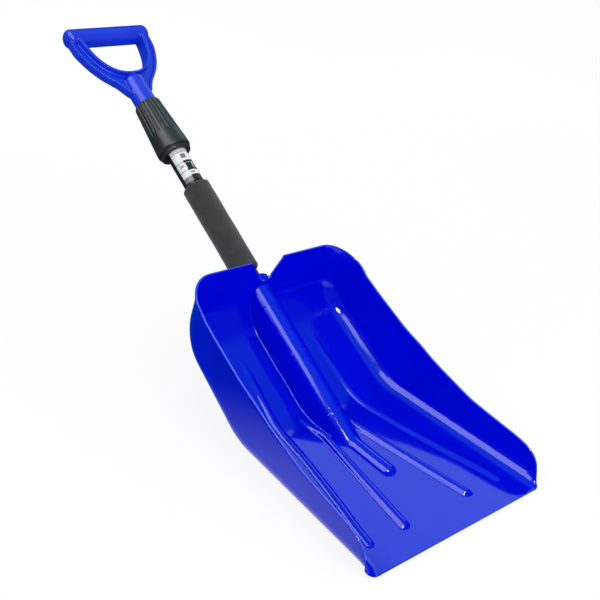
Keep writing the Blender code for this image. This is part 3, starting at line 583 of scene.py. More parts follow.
def crest(offset):
    """Cross-section of a rib: round top, straight shoulders, steep foot.
    The offset is 0 at the middle and 1 at the foot."""
    flank = (math.sqrt(offset * offset + 0.05) - 0.2236) / (math.sqrt(1.05) - 0.2236)
    return (1 - min(1.0, flank) ** 1.45) ** 0.72


def rib(x, run, centre, half, height, fade_start, fade_end):
    """Rounded rib with a ball-nosed front end and a slow fade at the back."""
    if run < RIB_FRONT - 1.5 or run > fade_end + 2:
        return 0.0
    across = (x - centre) / half
    ahead = max(0.0, (RIB_FRONT + half - run) / half)
    reach = across * across + ahead * ahead
    if reach < 1:
        level = height * crest(math.sqrt(reach))
    else:
        level = -(math.sqrt(reach) - 1) * half * 1.5
    return smooth_max(level, 0.0, 2.0) * (1 - smoothstep(fade_start, fade_end, run))


def raised(x, base, direction, height):
    """Point at a height over the base (y, z) along a direction."""
    return (x, base[0] + height * direction[0], base[1] + height * direction[1])


def ridge_section(run, base, normal, thick):
    """Socket ridge and nose: upper and lower skin, and the x of each one's foot."""
    y, z = base
    floor_above = above_axis(y - AXIS_Y, z)
    # above the ramp bend the ridge is raised square to the handle axis
    lean = RAMP_ANGLE * smoothstep(165.0, 205.0, y)
    rise = (-math.sin(lean), math.cos(lean))
    rise_rate, normal_rate = above_axis(*rise), above_axis(*normal)

    along = along_axis(y - AXIS_Y, z)
    radius = lookup(RIDGE_RADII, along)
    for place_along, bead in RIDGE_BEADS:
        radius += bead * math.exp(-((along - place_along) / BEAD_WIDTH) ** 2)
    inner_r = radius - WALL

    def chord(rad):
        """Half width of the circle where the floor cuts it."""
        return math.sqrt(max(0.0, rad ** 2 - max(0.0, floor_above) ** 2))

    nose = 0.0
    if run > NOSE_START:
        ahead = max(0.0, (NOSE_START + NOSE_R - run) / NOSE_R)
        nose = math.sqrt(max(0.0, 1 - ahead ** 2))
        nose *= 1 - smoothstep(188.0, 200.0, run)
    half = max(chord(radius), NOSE_R * nose, 2.0)
    hollow = y < BULKHEAD_Y
    half_low = max(chord(inner_r), (NOSE_R - WALL) * nose, 1.4) if hollow else SOLID_HALF

    def ridge_height(x):
        round_part = nose_part = NO_SURFACE
        if chord(radius) > 0.0:
            round_part = (math.sqrt(max(0.0, radius ** 2 - x * x)) - floor_above) / rise_rate
        if nose > 0 and nose ** 2 - (x / NOSE_R) ** 2 > 0:
            nose_part = NOSE_H * nose * crest(x / NOSE_R / nose)
        if min(round_part, nose_part) > NO_SURFACE + 1:
            return smooth_max(round_part, nose_part, 1.6)
        return max(round_part, nose_part)

    def hollow_height(x):
        bore = (math.sqrt(max(0.0, inner_r ** 2 - x * x)) - floor_above) / normal_rate
        inside = nose ** 2 - (x / (NOSE_R - WALL)) ** 2
        return max(bore, -WALL + NOSE_H * math.sqrt(max(0.0, inside)), -thick)

    upper, lower = [], []
    for k in range(ARCH_COLS + 1):
        share = math.sin(k / ARCH_COLS * math.pi / 2)
        x = half * share
        height = max(0.0, ridge_height(min(x, half * 0.99999)))
        upper.append(raised(x, base, rise, height))
        x = half_low * share
        if hollow:
            height = hollow_height(x)
        else:
            height = max(-WALL, (-BORE_FLOOR - floor_above) / normal_rate)
        lower.append(raised(x, base, normal, height))

    # drafted side of the ridge, then a small fillet into the floor
    side = max(0.0, ridge_height(half * 0.99999)) if floor_above < 0 else 0.0
    fillet = min(2.6, 0.45 * side)
    draft = RIDGE_DRAFT * min(1.0, side / 6.0)
    foot_low = max(half + RIDGE_DRAFT - WALL, half_low + 0.8)
    for k in range(1, WEB_COLS + 1):
        if k <= WEB_DRAFT_COLS:
            t = k / WEB_DRAFT_COLS
            x, height = half + draft * t, side + (fillet - side) * t
        else:
            angle = (k - WEB_DRAFT_COLS) / (WEB_COLS - WEB_DRAFT_COLS) * math.pi / 2
            x = half + draft + fillet * (1 - math.cos(angle))
            height = fillet * (1 - math.sin(angle))
        foot = max(x, half + 0.06 * k)
        upper.append(raised(foot, base, rise, height))
        x = half_low + (foot_low - half_low) * k / WEB_COLS
        lower.append(raised(x, base, normal, -thick))
    return upper, lower, foot, foot_low


def floor_section(run, base, normal, thick, foot, foot_low):
    """Floor with its two ribs, from the ridge to the side fillet."""
    edge = half_width(*base) - fillet_width(run)
    inner_x, outer_x = max(inner_rib_x(run), foot + 5.0), outer_rib_x(run)
    inner_half = 6.9 - 1.3 * smoothstep(60, 220, run)
    outer_half = 5.2 - 0.8 * smoothstep(60, 300, run)

    def floor_height(x, shrink=0.0):
        inner = rib(x, run, inner_x, inner_half - shrink, height=5.0,
                    fade_start=190.0, fade_end=240.0)
        outer = rib(x, run, outer_x, outer_half - shrink, height=2.7,
                    fade_start=240.0, fade_end=335.0)
        level = smooth_max(inner, outer, 0.5)
        return level - 0.125 if min(inner, outer) <= 0 else level

    inner_zone, outer_zone = inner_half + 2.2, outer_half + 2.2
    inner_start, inner_end = inner_x - inner_zone, inner_x + inner_zone
    outer_start, outer_end = outer_x - outer_zone, outer_x + outer_zone
    columns = [foot + (inner_start - foot) * k / 4 for k in range(1, 4)]
    columns += [inner_x - inner_zone * math.cos(k / RIB_COLS * math.pi)
                for k in range(RIB_COLS + 1)]
    columns += [inner_end + (outer_start - inner_end) * k / GAP_COLS
                for k in range(1, GAP_COLS)]
    columns += [outer_x - outer_zone * math.cos(k / RIB_COLS * math.pi)
                for k in range(RIB_COLS + 1)]
    columns += [outer_end + (edge - outer_end) * k / SIDE_COLS
                for k in range(1, SIDE_COLS)]

    # columns never cross: each lies at least a little outside the last
    upper, lower = [], []
    least, least_low = foot + 0.15, foot_low + 0.15
    for column in columns:
        x = max(column, least)
        least = x + 0.12
        upper.append(raised(x, base, normal, max(0.0, floor_height(x))))
        x = max(x, least_low)
        least_low = x + 0.12
        height = max(0.0, floor_height(x, shrink=1.2)) - thick
        lower.append(raised(x, base, normal, height))
    return upper, lower


def wall_section(run, base, normal, thick):
    """Fillet and side wall: upper and lower skin, and the round over the rim."""
    y, z = base
    tip_y, tip_z = monotone(RIM_RUN, RIM_Y, run), monotone(RIM_RUN, RIM_Z, run)
    span = math.hypot(tip_y - y, tip_z - z)
    climb = ((tip_y - y) / span, (tip_z - z) / span)
    reach, rise = fillet_width(run), min(fillet_rise(run), span)
    side = side_thickness(run)
    upper, lower, arc = [], [], []
    for k in range(FILLET_COLS + 1):
        angle = k / FILLET_COLS * math.pi / 2
        _, y, z = raised(0, base, climb, rise * (1 - math.cos(angle)))
        x = half_width(y, z) - reach * (1 - math.sin(angle))
        upper.append((x, y, z))
        drop = thick * math.cos(angle)
        lower.append(raised(x + side * math.sin(angle), (y, z), normal, -drop))
    top = max(span - side / 2, rise + 0.05)
    for k in range(1, WALL_COLS + 1):
        _, y, z = raised(0, base, climb, rise + (top - rise) * k / WALL_COLS)
        x = half_width(y, z)
        upper.append((x, y, z))
        lower.append((x + side, y, z))
    _, y, z = raised(0, base, climb, top)
    x = half_width(y, z) + side / 2
    for k in range(1, 6):
        angle = math.pi * k / 6
        arc.append(raised(x - side / 2 * math.cos(angle), (y, z), climb,
                          side / 2 * math.sin(angle)))
    return upper, lower, arc


def scoop_row(run):
    """One half section, centre to rim: points of the upper and lower skins and
    of the round over the rim."""
    y, z, tilt = floor_line(run)
    shared = (run, (y, z), (-math.sin(tilt), math.cos(tilt)), floor_thickness(run))
    ridge_up, ridge_low, foot, foot_low = ridge_section(*shared)
    floor_up, floor_low = floor_section(*shared, foot, foot_low)
    wall_up, wall_low, arc = wall_section(*shared)
    return (np.array(ridge_up + floor_up + wall_up),
            np.array(ridge_low + floor_low + wall_low), np.array(arc))


def full_ring(upper, lower, arc):
    """Closed section: the right half and its mirror image."""
    right = np.vstack([upper, arc, lower[::-1]])
    left = right[1:-1][::-1].copy()
    left[:, 0] *= -1
    return np.vstack([right, left])


def closing_row(parts, degrees, reach, direction):
    """End row: skins drawn together and pushed out on a quarter round."""
    upper, lower, arc = parts
    shrink = math.cos(math.radians(degrees))
    shift = np.array(direction) * (reach * math.sin(math.radians(degrees)))
    middle = (upper + lower) / 2
    rim = (upper[-1] + lower[-1]) / 2
    return full_ring(middle + (upper - middle) * shrink + shift,
                     middle + (lower - middle) * shrink + shift,
                     rim + (arc - rim) * shrink + shift)


def scoop_stations():
    last_run = FLOOR_LENGTH - WALL / 2
    runs = [FIRST_RUN]
    while runs[-1] < last_run - 1.0:
        runs.append(runs[-1] + lookup(STATION_STEPS, runs[-1]))
    runs[-1] = last_run
    # closer rows where the ridge steps and beads are
    features = RIDGE_STEPS + [along for along, _ in RIDGE_BEADS]
    out = [runs[0]]
    for run in runs[1:]:
        start = out[-1]
        y, z, _ = floor_line((run + start) / 2)
        along = along_axis(y - AXIS_Y, z)
        parts = 4 if min(abs(along - feature) for feature in features) < 2.0 else 1
        for k in range(1, parts + 1):
            out.append(start + (run - start) * k / parts)
    return out


# ============================================================ scoop: solids
def make_shell(stations, first, last):
    rows = [closing_row(first, degrees, FIRST_RUN, (0, -1, 0))
            for degrees in (90, 65, 40, 20)]
    rows += [full_ring(*scoop_row(run)) for run in stations]
    rows += [closing_row(last, degrees, WALL / 2, (0, 0, 1))
             for degrees in (20, 40, 65, 90)]
    bm = bmesh.new()
    rings = [[bm.verts.new(to_frame(*point)) for point in row] for row in rows]
    count = len(rings[0])
    for this, after in zip(rings[:-1], rings[1:]):
        for j in range(count):
            k = (j + 1) % count
            bm.faces.new((this[j], this[k], after[k], after[j]))
    bmesh.ops.remove_doubles(bm, verts=bm.verts[:], dist=2e-6)
    bmesh.ops.dissolve_degenerate(bm, edges=bm.edges[:], dist=1e-6)
    return new_object("scoop_shell", bm)


def handle_cylinder(name, radius, start_at, end, chamfer=0.0, segs=96):
    """Cylinder on the handle axis; start_at(above) says where each side
    starts along the axis, so that the foot may be cut at a slant."""
    bm = bmesh.new()
    base, shoulder, top = [], [], []
    for k in range(segs):
        angle = math.tau * (k + 0.5) / segs
        x, above = radius * math.sin(angle), radius * math.cos(angle)
        base.append(bm.verts.new(on_handle(x, start_at(above), above)))
        shoulder.append(bm.verts.new(on_handle(x, end - chamfer, above)))
        if chamfer:
            shrink = (radius - chamfer) / radius
            top.append(bm.verts.new(on_handle(x * shrink, end, above * shrink)))
    for k in range(segs):
        k2 = (k + 1) % segs
        bm.faces.new((base[k], base[k2], shoulder[k2], shoulder[k]))
        if chamfer:
            bm.faces.new((shoulder[k], shoulder[k2], top[k2], top[k]))
    bm.faces.new(base)
    bm.faces.new(top if chamfer else shoulder)
    return new_object(name, bm)


def make_cheek(name, left, right):
    """Upright web between the back wall and the collar."""
    corners = [to_frame(left, COLLAR_SEAT, 84.0), to_frame(left, COLLAR_SEAT, 124.5),
               to_frame(left, COLLAR_SEAT + 3.0, 123.7)]
    corners += [on_handle(left, along, above) for along, above in
                ((206.5, 13.0), (209.8, 11.4), (211.4, 9.0), (211.4, -9.0),
                 (204.0, -12.0))]
    return prism(name, corners, ((right - left) * MM, 0, 0))


def make_collar():
    collar = handle_cylinder(
        "collar_body", COLLAR_R,
        lambda above: (COLLAR_SEAT - AXIS_Y + above * RAMP_SIN) / RAMP_COS,
        COLLAR_END, chamfer=0.8)
    boolean(collar, make_cheek("cheek_r", 17.0, 19.6), "UNION")
    boolean(collar, make_cheek("cheek_l", -19.6, -17.0), "UNION")
    return collar


def make_cutter():
    """Notch in the back wall, bore of the socket and the two screw holes."""
    outline = NOTCH + [(-x, z) for x, z in reversed(NOTCH[:-1])]
    cutter = prism("notch_cut", [to_frame(x, BACK_Y - NOTCH_FRONT, z) for x, z in outline],
                   (0, (NOTCH_FRONT + WALL + 0.05) * MM, 0))
    bore = handle_cylinder("bore_cut", BORE_R, lambda above: BORE_START, COLLAR_END + 5)
    boolean(cutter, bore, "UNION")
    for along in SOCKET_SCREWS:
        boolean(cutter, drill_bit(along, near=6, far=22), "UNION")
    return cutter


def mark_rim_highlight(ob, stations, last):
    """Float attribute, the mask of the rim's painted highlight: 1 on the rounded rim and
    fading off beside it.
    """
    points = []

    def mark(x, y, z, value):
        points.append((to_frame(x, y, z), value))
        points.append((to_frame(-x, y, z), value))

    for run in stations:
        for k, point in enumerate(scoop_row(run)[2]):
            mark(*point, 1.0 if 0 < k < 4 else 0.7)
    for inner, outer in zip(*last[:2]):
        top = (inner[2] + outer[2]) / 2 + WALL / 2 - 0.25
        for share in (0.15, 0.5, 0.85):
            point = inner + (outer - inner) * share
            mark(point[0], point[1], top, 0.75)
    tree = KDTree(len(points))
    for i, (point, _) in enumerate(points):
        tree.insert(point, i)
    tree.balance()
    attribute = ob.data.attributes.new("rim_highlight_mask", "FLOAT", "POINT")
    for i, vert in enumerate(ob.data.vertices):
        _, nearest, distance = tree.find(vert.co)
        attribute.data[i].value = points[nearest][1] if distance < 0.0006 else 0.0


def make_scoop():
    stations = scoop_stations()
    last = scoop_row(stations[-1])
    scoop = make_shell(stations, scoop_row(stations[0]), last)
    boolean(scoop, make_collar(), "UNION")
    boolean(scoop, make_cutter(), "DIFFERENCE")
    mark_rim_highlight(scoop, stations, last)
    shade(scoop, 42)
    return scoop


place(make_scoop(), "scoop", "blade", SCOOP_BLUE)


# ================================================================= D-grip
# right halves of the grip's outlines: (x, distance along the handle)
OPENING = [(0, 538.6), (12, 540.2), (23, 545.4), (31.5, 554.0), (38.0, 564.5),
           (42.2, 577.5), (44.6, 588.0), (46.5, 600.0)]
RIBBON = [(0, 535.3), (13, 537.2), (25, 542.9), (34.4, 552.4), (41.2, 563.3),
          (45.8, 576.6), (48.6, 587.5), (51.5, 604.5)]
OUTER = [(0, 505.0), (14.4, 507.0), (21.0, 516.0), (26.5, 524.5),
         (33.5, 532.0), (42.0, 542.2), (50.0, 555.2), (56.5, 570.5),
         (60.3, 585.0), (60.5, 606.0)]
OUTER_INSIDE = [(0, 509.5), (12.4, 511.5), (18.6, 519.0), (24.0, 527.2),
                (31.0, 534.6), (39.0, 544.6), (46.6, 557.2), (52.8, 572.0),
                (56.4, 585.6), (56.4, 601.0)]
OUTLINE_POINTS = 90
WEB_HALF, OUTER_HALF, RIBBON_HALF = 3.0, 5.6, 10.6      # half depths of the plates
SHANK_R, SHANK_BOTTOM, SHANK_TOP, DOME_H = 14.25, 481.6, 527.6, 9.0
SHANK_BORE_R, SHANK_BORE = 11.4, (478.0, 526.0)         # radius; start and end
BAR_R, BAR_HALF, BAR_ROUND, BAR_ALONG = 12.5, 63.0, 8.0, 606.0


def spline(points, per_span):
    """Catmull-Rom curve through the points."""
    pts = [np.array(point, float) for point in points]
    pts = [2 * pts[0] - pts[1]] + pts + [2 * pts[-1] - pts[-2]]
    out = []
    for i in range(1, len(pts) - 2):
        before, start, end, after = pts[i - 1:i + 3]
        for k in range(per_span):
            t = k / per_span
            out.append(0.5 * (2 * start + (end - before) * t
                              + (2 * before - 5 * start + 4 * end - after) * t * t
                              + (3 * start - before - 3 * end + after) * t ** 3))
    out.append(pts[-2])
    return out


def resample(points):
    """Smooth curve through the points, in evenly spaced steps."""
    curve = np.array(spline(points, 12))
    steps = np.hypot(*np.diff(curve, axis=0).T)
    arc = np.concatenate([[0], np.cumsum(steps)])
    even = np.linspace(0, arc[-1], OUTLINE_POINTS)
    return list(zip(np.interp(even, arc, curve[:, 0]), np.interp(even, arc, curve[:, 1])))


def halfway(first, second):
    return [((a[0] + b[0]) / 2, (a[1] + b[1]) / 2) for a, b in zip(first, second)]


def add_plate(bm, outer, inner, half_depth):
    """Plate between two outlines, each closed by its mirror image."""
    loops = []
    for y in (-half_depth, half_depth):
        for curve in (outer, inner):
            closed = curve + [(-x, z) for x, z in reversed(curve[1:])]
            loops.append([bm.verts.new((x * MM, y * MM, z * MM)) for x, z in closed])
    outer_1, inner_1, outer_2, inner_2 = loops
    count = len(outer_1)
    for k in range(count):
        k2 = (k + 1) % count
        bm.faces.new((outer_1[k], outer_1[k2], inner_1[k2], inner_1[k]))
        bm.faces.new((outer_2[k], inner_2[k], inner_2[k2], outer_2[k2]))
        bm.faces.new((outer_1[k], outer_2[k], outer_2[k2], outer_1[k2]))
        bm.faces.new((inner_1[k], inner_1[k2], inner_2[k2], inner_2[k]))


def shank_profile():
    dome = [(SHANK_R * math.cos(angle), SHANK_TOP + DOME_H * math.sin(angle))
            for angle in np.radians(np.arange(10, 85, 10))]
    return [(0, SHANK_BOTTOM), (13.3, SHANK_BOTTOM), (14.0, SHANK_BOTTOM + 0.3),
            (SHANK_R, SHANK_BOTTOM + 1.0), (SHANK_R, SHANK_TOP),
            *dome, (0, SHANK_TOP + DOME_H)]


def bar_profile():
    half = [(0.0, -BAR_HALF)]
    half += [(BAR_R * math.sin(angle), -BAR_HALF + BAR_ROUND * (1 - math.cos(angle)))
             for angle in np.radians(np.arange(8, 90, 8))]
    half.append((BAR_R, -BAR_HALF + BAR_ROUND))
    return half + [(radius, -distance) for radius, distance in reversed(half)]


def make_grip():
    opening, ribbon, outer, outer_inside = map(
        resample, (OPENING, RIBBON, OUTER, OUTER_INSIDE))
    bm = bmesh.new()
    add_turned(bm, shank_profile(), "Z")
    add_plate(bm, halfway(outer, outer_inside), halfway(opening, ribbon), WEB_HALF)
    add_plate(bm, outer, outer_inside, OUTER_HALF)
    add_plate(bm, ribbon, opening, RIBBON_HALF)
    add_turned(bm, bar_profile(), "X", (0, 0, BAR_ALONG))
    grip = new_object("grip_moulding", bm)
    # melt the overlapping solids into one moulding with soft corners
    mod = grip.modifiers.new("merge", "REMESH")
    mod.mode = "VOXEL"
    mod.voxel_size = 0.0006
    mod.adaptivity = 0.0
    mod = grip.modifiers.new("soften", "SMOOTH")
    mod.factor = 0.5
    mod.iterations = 7
    apply_modifiers(grip)
    bore = bmesh.new()
    start, end = SHANK_BORE
    add_turned(bore, [(0, start), (SHANK_BORE_R, start), (SHANK_BORE_R, end), (0, end)], "Z")
    boolean(grip, new_object("bore", bore), "DIFFERENCE")
    boolean(grip, drill_bit(SHANK_SCREW, near=4, far=20, matrix=None), "DIFFERENCE")
    grip.data.transform(HANDLE)
    shade(grip, 50)
    return grip


place(make_grip(), "upper_handle", "d_grip", GRIP_BLUE)


# ============================================================ lock sleeve
# (radius, distance from SLEEVE_BASE), up the outside and down the inside
SLEEVE_BASE = 398.0
# a groove parts the lip round the mouth from the flared body
SLEEVE_MOUTH = [(16.9, 10.5), (17.5, 10.2), (18.9, 10.3), (19.8, 10.9),
                (20.2, 12.0), (20.1, 13.2), (19.4, 13.9), (19.1, 14.6),
                (19.4, 15.3), (20.4, 15.5), (21.5, 15.7), (22.0, 16.5), (22.2, 18.2)]
SLEEVE_RIM = [(17.25, 89.4), (17.0, 90.3), (16.7, 91.0), (16.2, 91.3),
              (15.4, 91.3), (14.95, 91.0), (14.75, 90.4)]
SLEEVE_INSIDE = [(14.75, 80.5), (11.75, 80.5), (11.75, 74.2), (14.6, 74.2),
                 (14.6, 69.0), (15.65, 69.0), (15.65, 14.6), (16.3, 14.6),
                 (16.3, 12.0), (16.45, 11.0)]
# body between mouth and rim: (distance from SLEEVE_BASE, radius)
SLEEVE_BODY = [(18.2, 22.2), (22.0, 22.1), (38.0, 20.9), (66.0, 18.9), (88.6, 17.35)]
FLUTES = 22
FLUTE_DEPTH = 0.85
FLUTE_STAGGER = 4.0         # every other flute starts this much higher


def sleeve_radius(radius, along, angle):
    """Rounded flutes run down from the top rim and run out half way."""
    if radius < 16.4 or along < 430.0:
        return radius
    groove = max(0.0, (math.cos(angle * FLUTES) - 0.30) / 0.70) ** 0.75
    even = int(round(angle * FLUTES / math.tau)) % 2
    stagger = 0.0 if even else FLUTE_STAGGER
    return radius - FLUTE_DEPTH * smoothstep(434.0 + stagger, 444.0 + stagger, along) * groove


def make_sleeve():
    body = [(lookup(SLEEVE_BODY, up), up) for up in np.arange(19.0, 88.7, 0.8)]
    profile = [(radius, SLEEVE_BASE + up)
               for radius, up in SLEEVE_MOUTH + body + SLEEVE_RIM + SLEEVE_INSIDE]
    return lathe("sleeve_moulding", profile, segs=352, smooth=50, shaper=sleeve_radius)


place(make_sleeve(), "lock_sleeve", "lock_collar", SLEEVE_BLACK)


# ============================================================== foam grip
FOAM_START, FOAM_END = 227.0, 358.0
FOAM_R, FOAM_BORE_R, FOAM_ROUND = 17.45, 13.05, 3.4


def foam_radius(radius, along, angle):
    """Slow unevenness and small cells on the outside, none in the bore."""
    if radius < 14.0:
        return radius
    sine, cosine = math.sin(angle), math.cos(angle)
    slow = noise.noise(Vector((sine * 3.2, cosine * 3.2, along * 0.055)) * 0.8) * 0.28
    surface = Vector((radius * sine, radius * cosine, along))
    cells = noise.noise(surface * 0.75) * 0.10 + noise.noise(surface * 1.9) * 0.06
    return radius + (slow + cells) * smoothstep(14.0, 16.5, radius)


def make_foam():
    quarter = [math.radians(90 * k / 8) for k in range(9)]
    shoulder = FOAM_R - FOAM_ROUND
    profile = [(shoulder + FOAM_ROUND * math.sin(angle),
                FOAM_START + FOAM_ROUND * (1 - math.cos(angle))) for angle in quarter]
    profile += [(FOAM_R, float(along)) for along in
                np.arange(FOAM_START + FOAM_ROUND + 1.2, FOAM_END - FOAM_ROUND - 0.6, 1.2)]
    profile += [(FOAM_R - FOAM_ROUND * (1 - math.cos(angle)),
                 FOAM_END - FOAM_ROUND + FOAM_ROUND * math.sin(angle)) for angle in quarter]
    profile += [(13.6, FOAM_END - 0.1), (FOAM_BORE_R, FOAM_END - 0.6),
                (FOAM_BORE_R, FOAM_START + 0.6), (13.6, FOAM_START + 0.1)]
    return lathe("foam_sleeve", profile, segs=160, smooth=60, shaper=foam_radius)


place(make_foam(), "scoop", "foam_grip", FOAM)


# ================================================================== label
LABEL_TURN = (-79.0, 111.0)         # degrees round the tube from its upper side
LABEL_SPAN = (361.0, 411.0)
LABEL_OUTER_R, LABEL_INNER_R, LABEL_EDGE_DROP = 13.26, 13.04, 0.10
LABEL_COLS, LABEL_ROWS = 96, 50


def make_label():
    """Thin curved film, its outer face drawn in along the border."""
    bm = bmesh.new()
    along_layer = bm.verts.layers.float.new("along")
    around_layer = bm.verts.layers.float.new("around")
    grids = []
    for radius, drop in ((LABEL_OUTER_R, LABEL_EDGE_DROP), (LABEL_INNER_R, 0.0)):
        grid = []
        for i in range(LABEL_ROWS + 1):
            along = LABEL_SPAN[0] + (LABEL_SPAN[1] - LABEL_SPAN[0]) * i / LABEL_ROWS
            row = []
            for k in range(LABEL_COLS + 1):
                degrees = LABEL_TURN[0] + (LABEL_TURN[1] - LABEL_TURN[0]) * k / LABEL_COLS
                angle = math.radians(degrees)
                border = i in (0, LABEL_ROWS) or k in (0, LABEL_COLS)
                film = radius - (drop if border else 0.0)
                vert = bm.verts.new((film * math.sin(angle) * MM,
                                     -film * math.cos(angle) * MM, along * MM))
                vert[along_layer] = along
                vert[around_layer] = degrees
                row.append(vert)
            grid.append(row)
        grids.append(grid)
    top, low = grids
    for i in range(LABEL_ROWS):
        for k in range(LABEL_COLS):
            bm.faces.new((top[i][k], top[i][k + 1], top[i + 1][k + 1], top[i + 1][k]))
            bm.faces.new((low[i][k], low[i + 1][k], low[i + 1][k + 1], low[i][k + 1]))
    for i in range(LABEL_ROWS):
        for k in (0, LABEL_COLS):
            bm.faces.new((top[i][k], top[i + 1][k], low[i + 1][k], low[i][k]))
    for k in range(LABEL_COLS):
        for i in (0, LABEL_ROWS):
            bm.faces.new((top[i][k], low[i][k], low[i][k + 1], top[i][k + 1]))
    bmesh.ops.transform(bm, matrix=HANDLE, verts=bm.verts[:])
    return new_object("label_film", bm, 40)


place(make_label(), "scoop", "tube_label", LABEL)


# ================================================================== tubes
TUBE_BEVEL = 0.35
TUBE_ROWS = 60


def make_tube(name, inner, outer, start, end, holes, near):
    """Tube along the handle, drilled through its back and lower side."""
    profile = [(outer - TUBE_BEVEL, start), (outer, start + TUBE_BEVEL)]
    profile += [(outer, float(along)) for along in
                np.linspace(start + TUBE_BEVEL, end - TUBE_BEVEL, TUBE_ROWS)[1:-1]]
    profile += [(outer, end - TUBE_BEVEL), (outer - TUBE_BEVEL, end),
                (inner + 0.1, end), (inner, end - 0.1),
                (inner, start + 0.1), (inner + 0.1, start)]
    tube = lathe(name, profile)
    for along in holes:
        boolean(tube, drill_bit(along, near, far=16.0), "DIFFERENCE")
    shade(tube, 40)
    return tube


place(make_tube("lower_tube_skin", inner=11.5, outer=12.7, start=31.0, end=436.0,
                holes=SOCKET_SCREWS, near=6.0),
      "scoop", "lower_tube", TUBE_BLACK)
place(make_tube("upper_tube_skin", inner=10.1, outer=11.1, start=150.0, end=524.0,
                holes=(SHANK_SCREW,), near=4.0),
      "upper_handle", "upper_tube", UPPER_BLACK)


# ================================================================= screws
THREAD_R, THREAD_ROOT_R, THREAD_PITCH = 1.9, 1.5, 0.8
HEAD_R, HEAD_EDGE, HEAD_DOME = 4.0, 0.8, 1.5


def screw_profile(tip):
    """(radius, distance out from the seat), from the tip to the head."""
    thread = [(0, -tip), (0.7, -tip), (1.3, -tip + 1.0)]
    out = -tip + 1.0
    while out < -THREAD_PITCH:
        thread += [(THREAD_R, out + 0.25), (THREAD_R, out + 0.4),
                   (THREAD_ROOT_R, out + 0.65), (THREAD_ROOT_R, out + THREAD_PITCH)]
        out += THREAD_PITCH
    dome = [(HEAD_R * math.cos(angle), HEAD_EDGE + HEAD_DOME * math.sin(angle))
            for angle in np.radians([15, 30, 45, 60, 75])]
    return [point for point in thread if point[1] < -0.15] + [
        (THREAD_R, 0.0), (HEAD_R - 0.15, 0.0), (HEAD_R, 0.15), (HEAD_R, HEAD_EDGE),
        *dome, (0, HEAD_EDGE + HEAD_DOME)]


def make_screw(name, along, seat, tip):
    """Domed screw whose head sits at a distance from the handle axis."""
    bm = bmesh.new()
    add_turned(bm, screw_profile(tip), "Y", segs=48)
    screw = new_object(name, bm)
    for width, length in ((0.8, 4.4), (4.4, 0.8)):      # cross recess
        bm = bmesh.new()
        bmesh.ops.create_cube(bm, size=1.0)
        bmesh.ops.scale(bm, verts=bm.verts[:], vec=(width * MM, 2.4 * MM, length * MM))
        bmesh.ops.translate(bm, verts=bm.verts[:], vec=(0, 2.3 * MM, 0))
        boolean(screw, new_object("recess", bm), "DIFFERENCE")
    screw.data.transform(HANDLE @ Matrix.Translation((0, seat * MM, along * MM)))
    shade(screw, 38)
    return screw


for number, socket_along in enumerate(SOCKET_SCREWS, 1):
    place(make_screw(f"socket_screw_{number}", socket_along, seat=16.1, tip=8.0),
          "scoop", f"blade_screw_{number}", ZINC_STEEL)
place(make_screw("shank_screw", SHANK_SCREW, seat=14.65, tip=6.5),
      "upper_handle", "grip_screw", ZINC_STEEL)

# the frame's own pieces get materials too; the hidden ones keep their shapes
PIECE_MATERIALS = {
    "collet": NYLON_BLACK, "collar_stop_ring": RING_BLACK, "wedge_ring": WEDGE_NATURAL,
    "wiper_ring": WIPER_RUBBER, "guide_plug": GUIDE_NATURAL,
    "lower_tube_plug": PLUG_BLACK, "blade": SCOOP_BLUE, "d_grip": GRIP_BLUE,
    "lock_collar": SLEEVE_BLACK, "foam_grip": FOAM, "tube_label": LABEL,
    "lower_tube": TUBE_BLACK, "upper_tube": UPPER_BLACK, "blade_screw_1": ZINC_STEEL,
    "blade_screw_2": ZINC_STEEL, "grip_screw": ZINC_STEEL}
for piece_name, piece_material in PIECE_MATERIALS.items():
    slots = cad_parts[piece_name].data.materials
    slots.clear()
    slots.append(piece_material)


# ================================================================== floor
def floor_material():
    """Almost white to the eye, with a faint contact shadow; in reflections it
    is bright close to the scoop and falls off outwards."""
    mat, tree, shader, coords = base_material("studio_floor_white")
    path = node(tree, "LightPath").outputs

    def emission(strength, **inputs):
        return node(tree, "Emission", {"Strength": strength, **inputs}).outputs["Emission"]

    def mix_shader(factor, first, second):
        return node(tree, "MixShader", {"Fac": factor, 1: first, 2: second}).outputs["Shader"]

    feed(tree, shader, {"Base Color": (0.88, 0.88, 0.885), "Roughness": 0.9,
                        "Specular IOR Level": 0.1})
    soft = noise_value(tree, coords, scale=0.8, detail=1.0, rough=0.4)
    glow = emission(map_range(tree, soft, span=(0.3, 0.7), to=(1.03, 1.05)))
    to_eye = mix_shader(0.84, shader.outputs["BSDF"], glow)

    # what reflections see: brightness by distance to the sides and the back
    place_on_floor = node(tree, "SeparateXYZ", {"Vector": coords}).outputs
    side = calculate(tree, "ABSOLUTE", place_on_floor["X"])
    back = calculate(tree, "MAXIMUM", place_on_floor["Y"], 0.0)
    reach = calculate(tree, "MULTIPLY_ADD", back, 0.80, side)
    nearness = map_range(tree, reach, span=(0.195, 0.400), to=(1.0, 0.0),
                         interpolation_type="SMOOTHSTEP")
    hue = mix_colour(tree, nearness, (0.0, 0.09, 0.10), (0.80, 0.93, 0.98))
    reflected = emission(0.98, Color=hue)

    bounced = mix_shader(path["Is Diffuse Ray"], to_eye, emission(0.38))
    above = mix_shader(path["Is Glossy Ray"], bounced, reflected)
    # one-sided: seen from below the floor is clear and shows the underside
    backfacing = node(tree, "NewGeometry").outputs["Backfacing"]
    clear = node(tree, "BsdfTransparent").outputs["BSDF"]
    feed(tree, tree.nodes["Material Output"],
         {"Surface": mix_shader(backfacing, above, clear)})
    return mat


def stage_floor():
    bm = bmesh.new()
    bmesh.ops.create_grid(bm, x_segments=2, y_segments=2, size=4.0)
    ob = new_object("studio_floor", bm)
    ob.location = (0, 0, -0.0006)
    ob.data.materials.append(floor_material())


stage_floor()


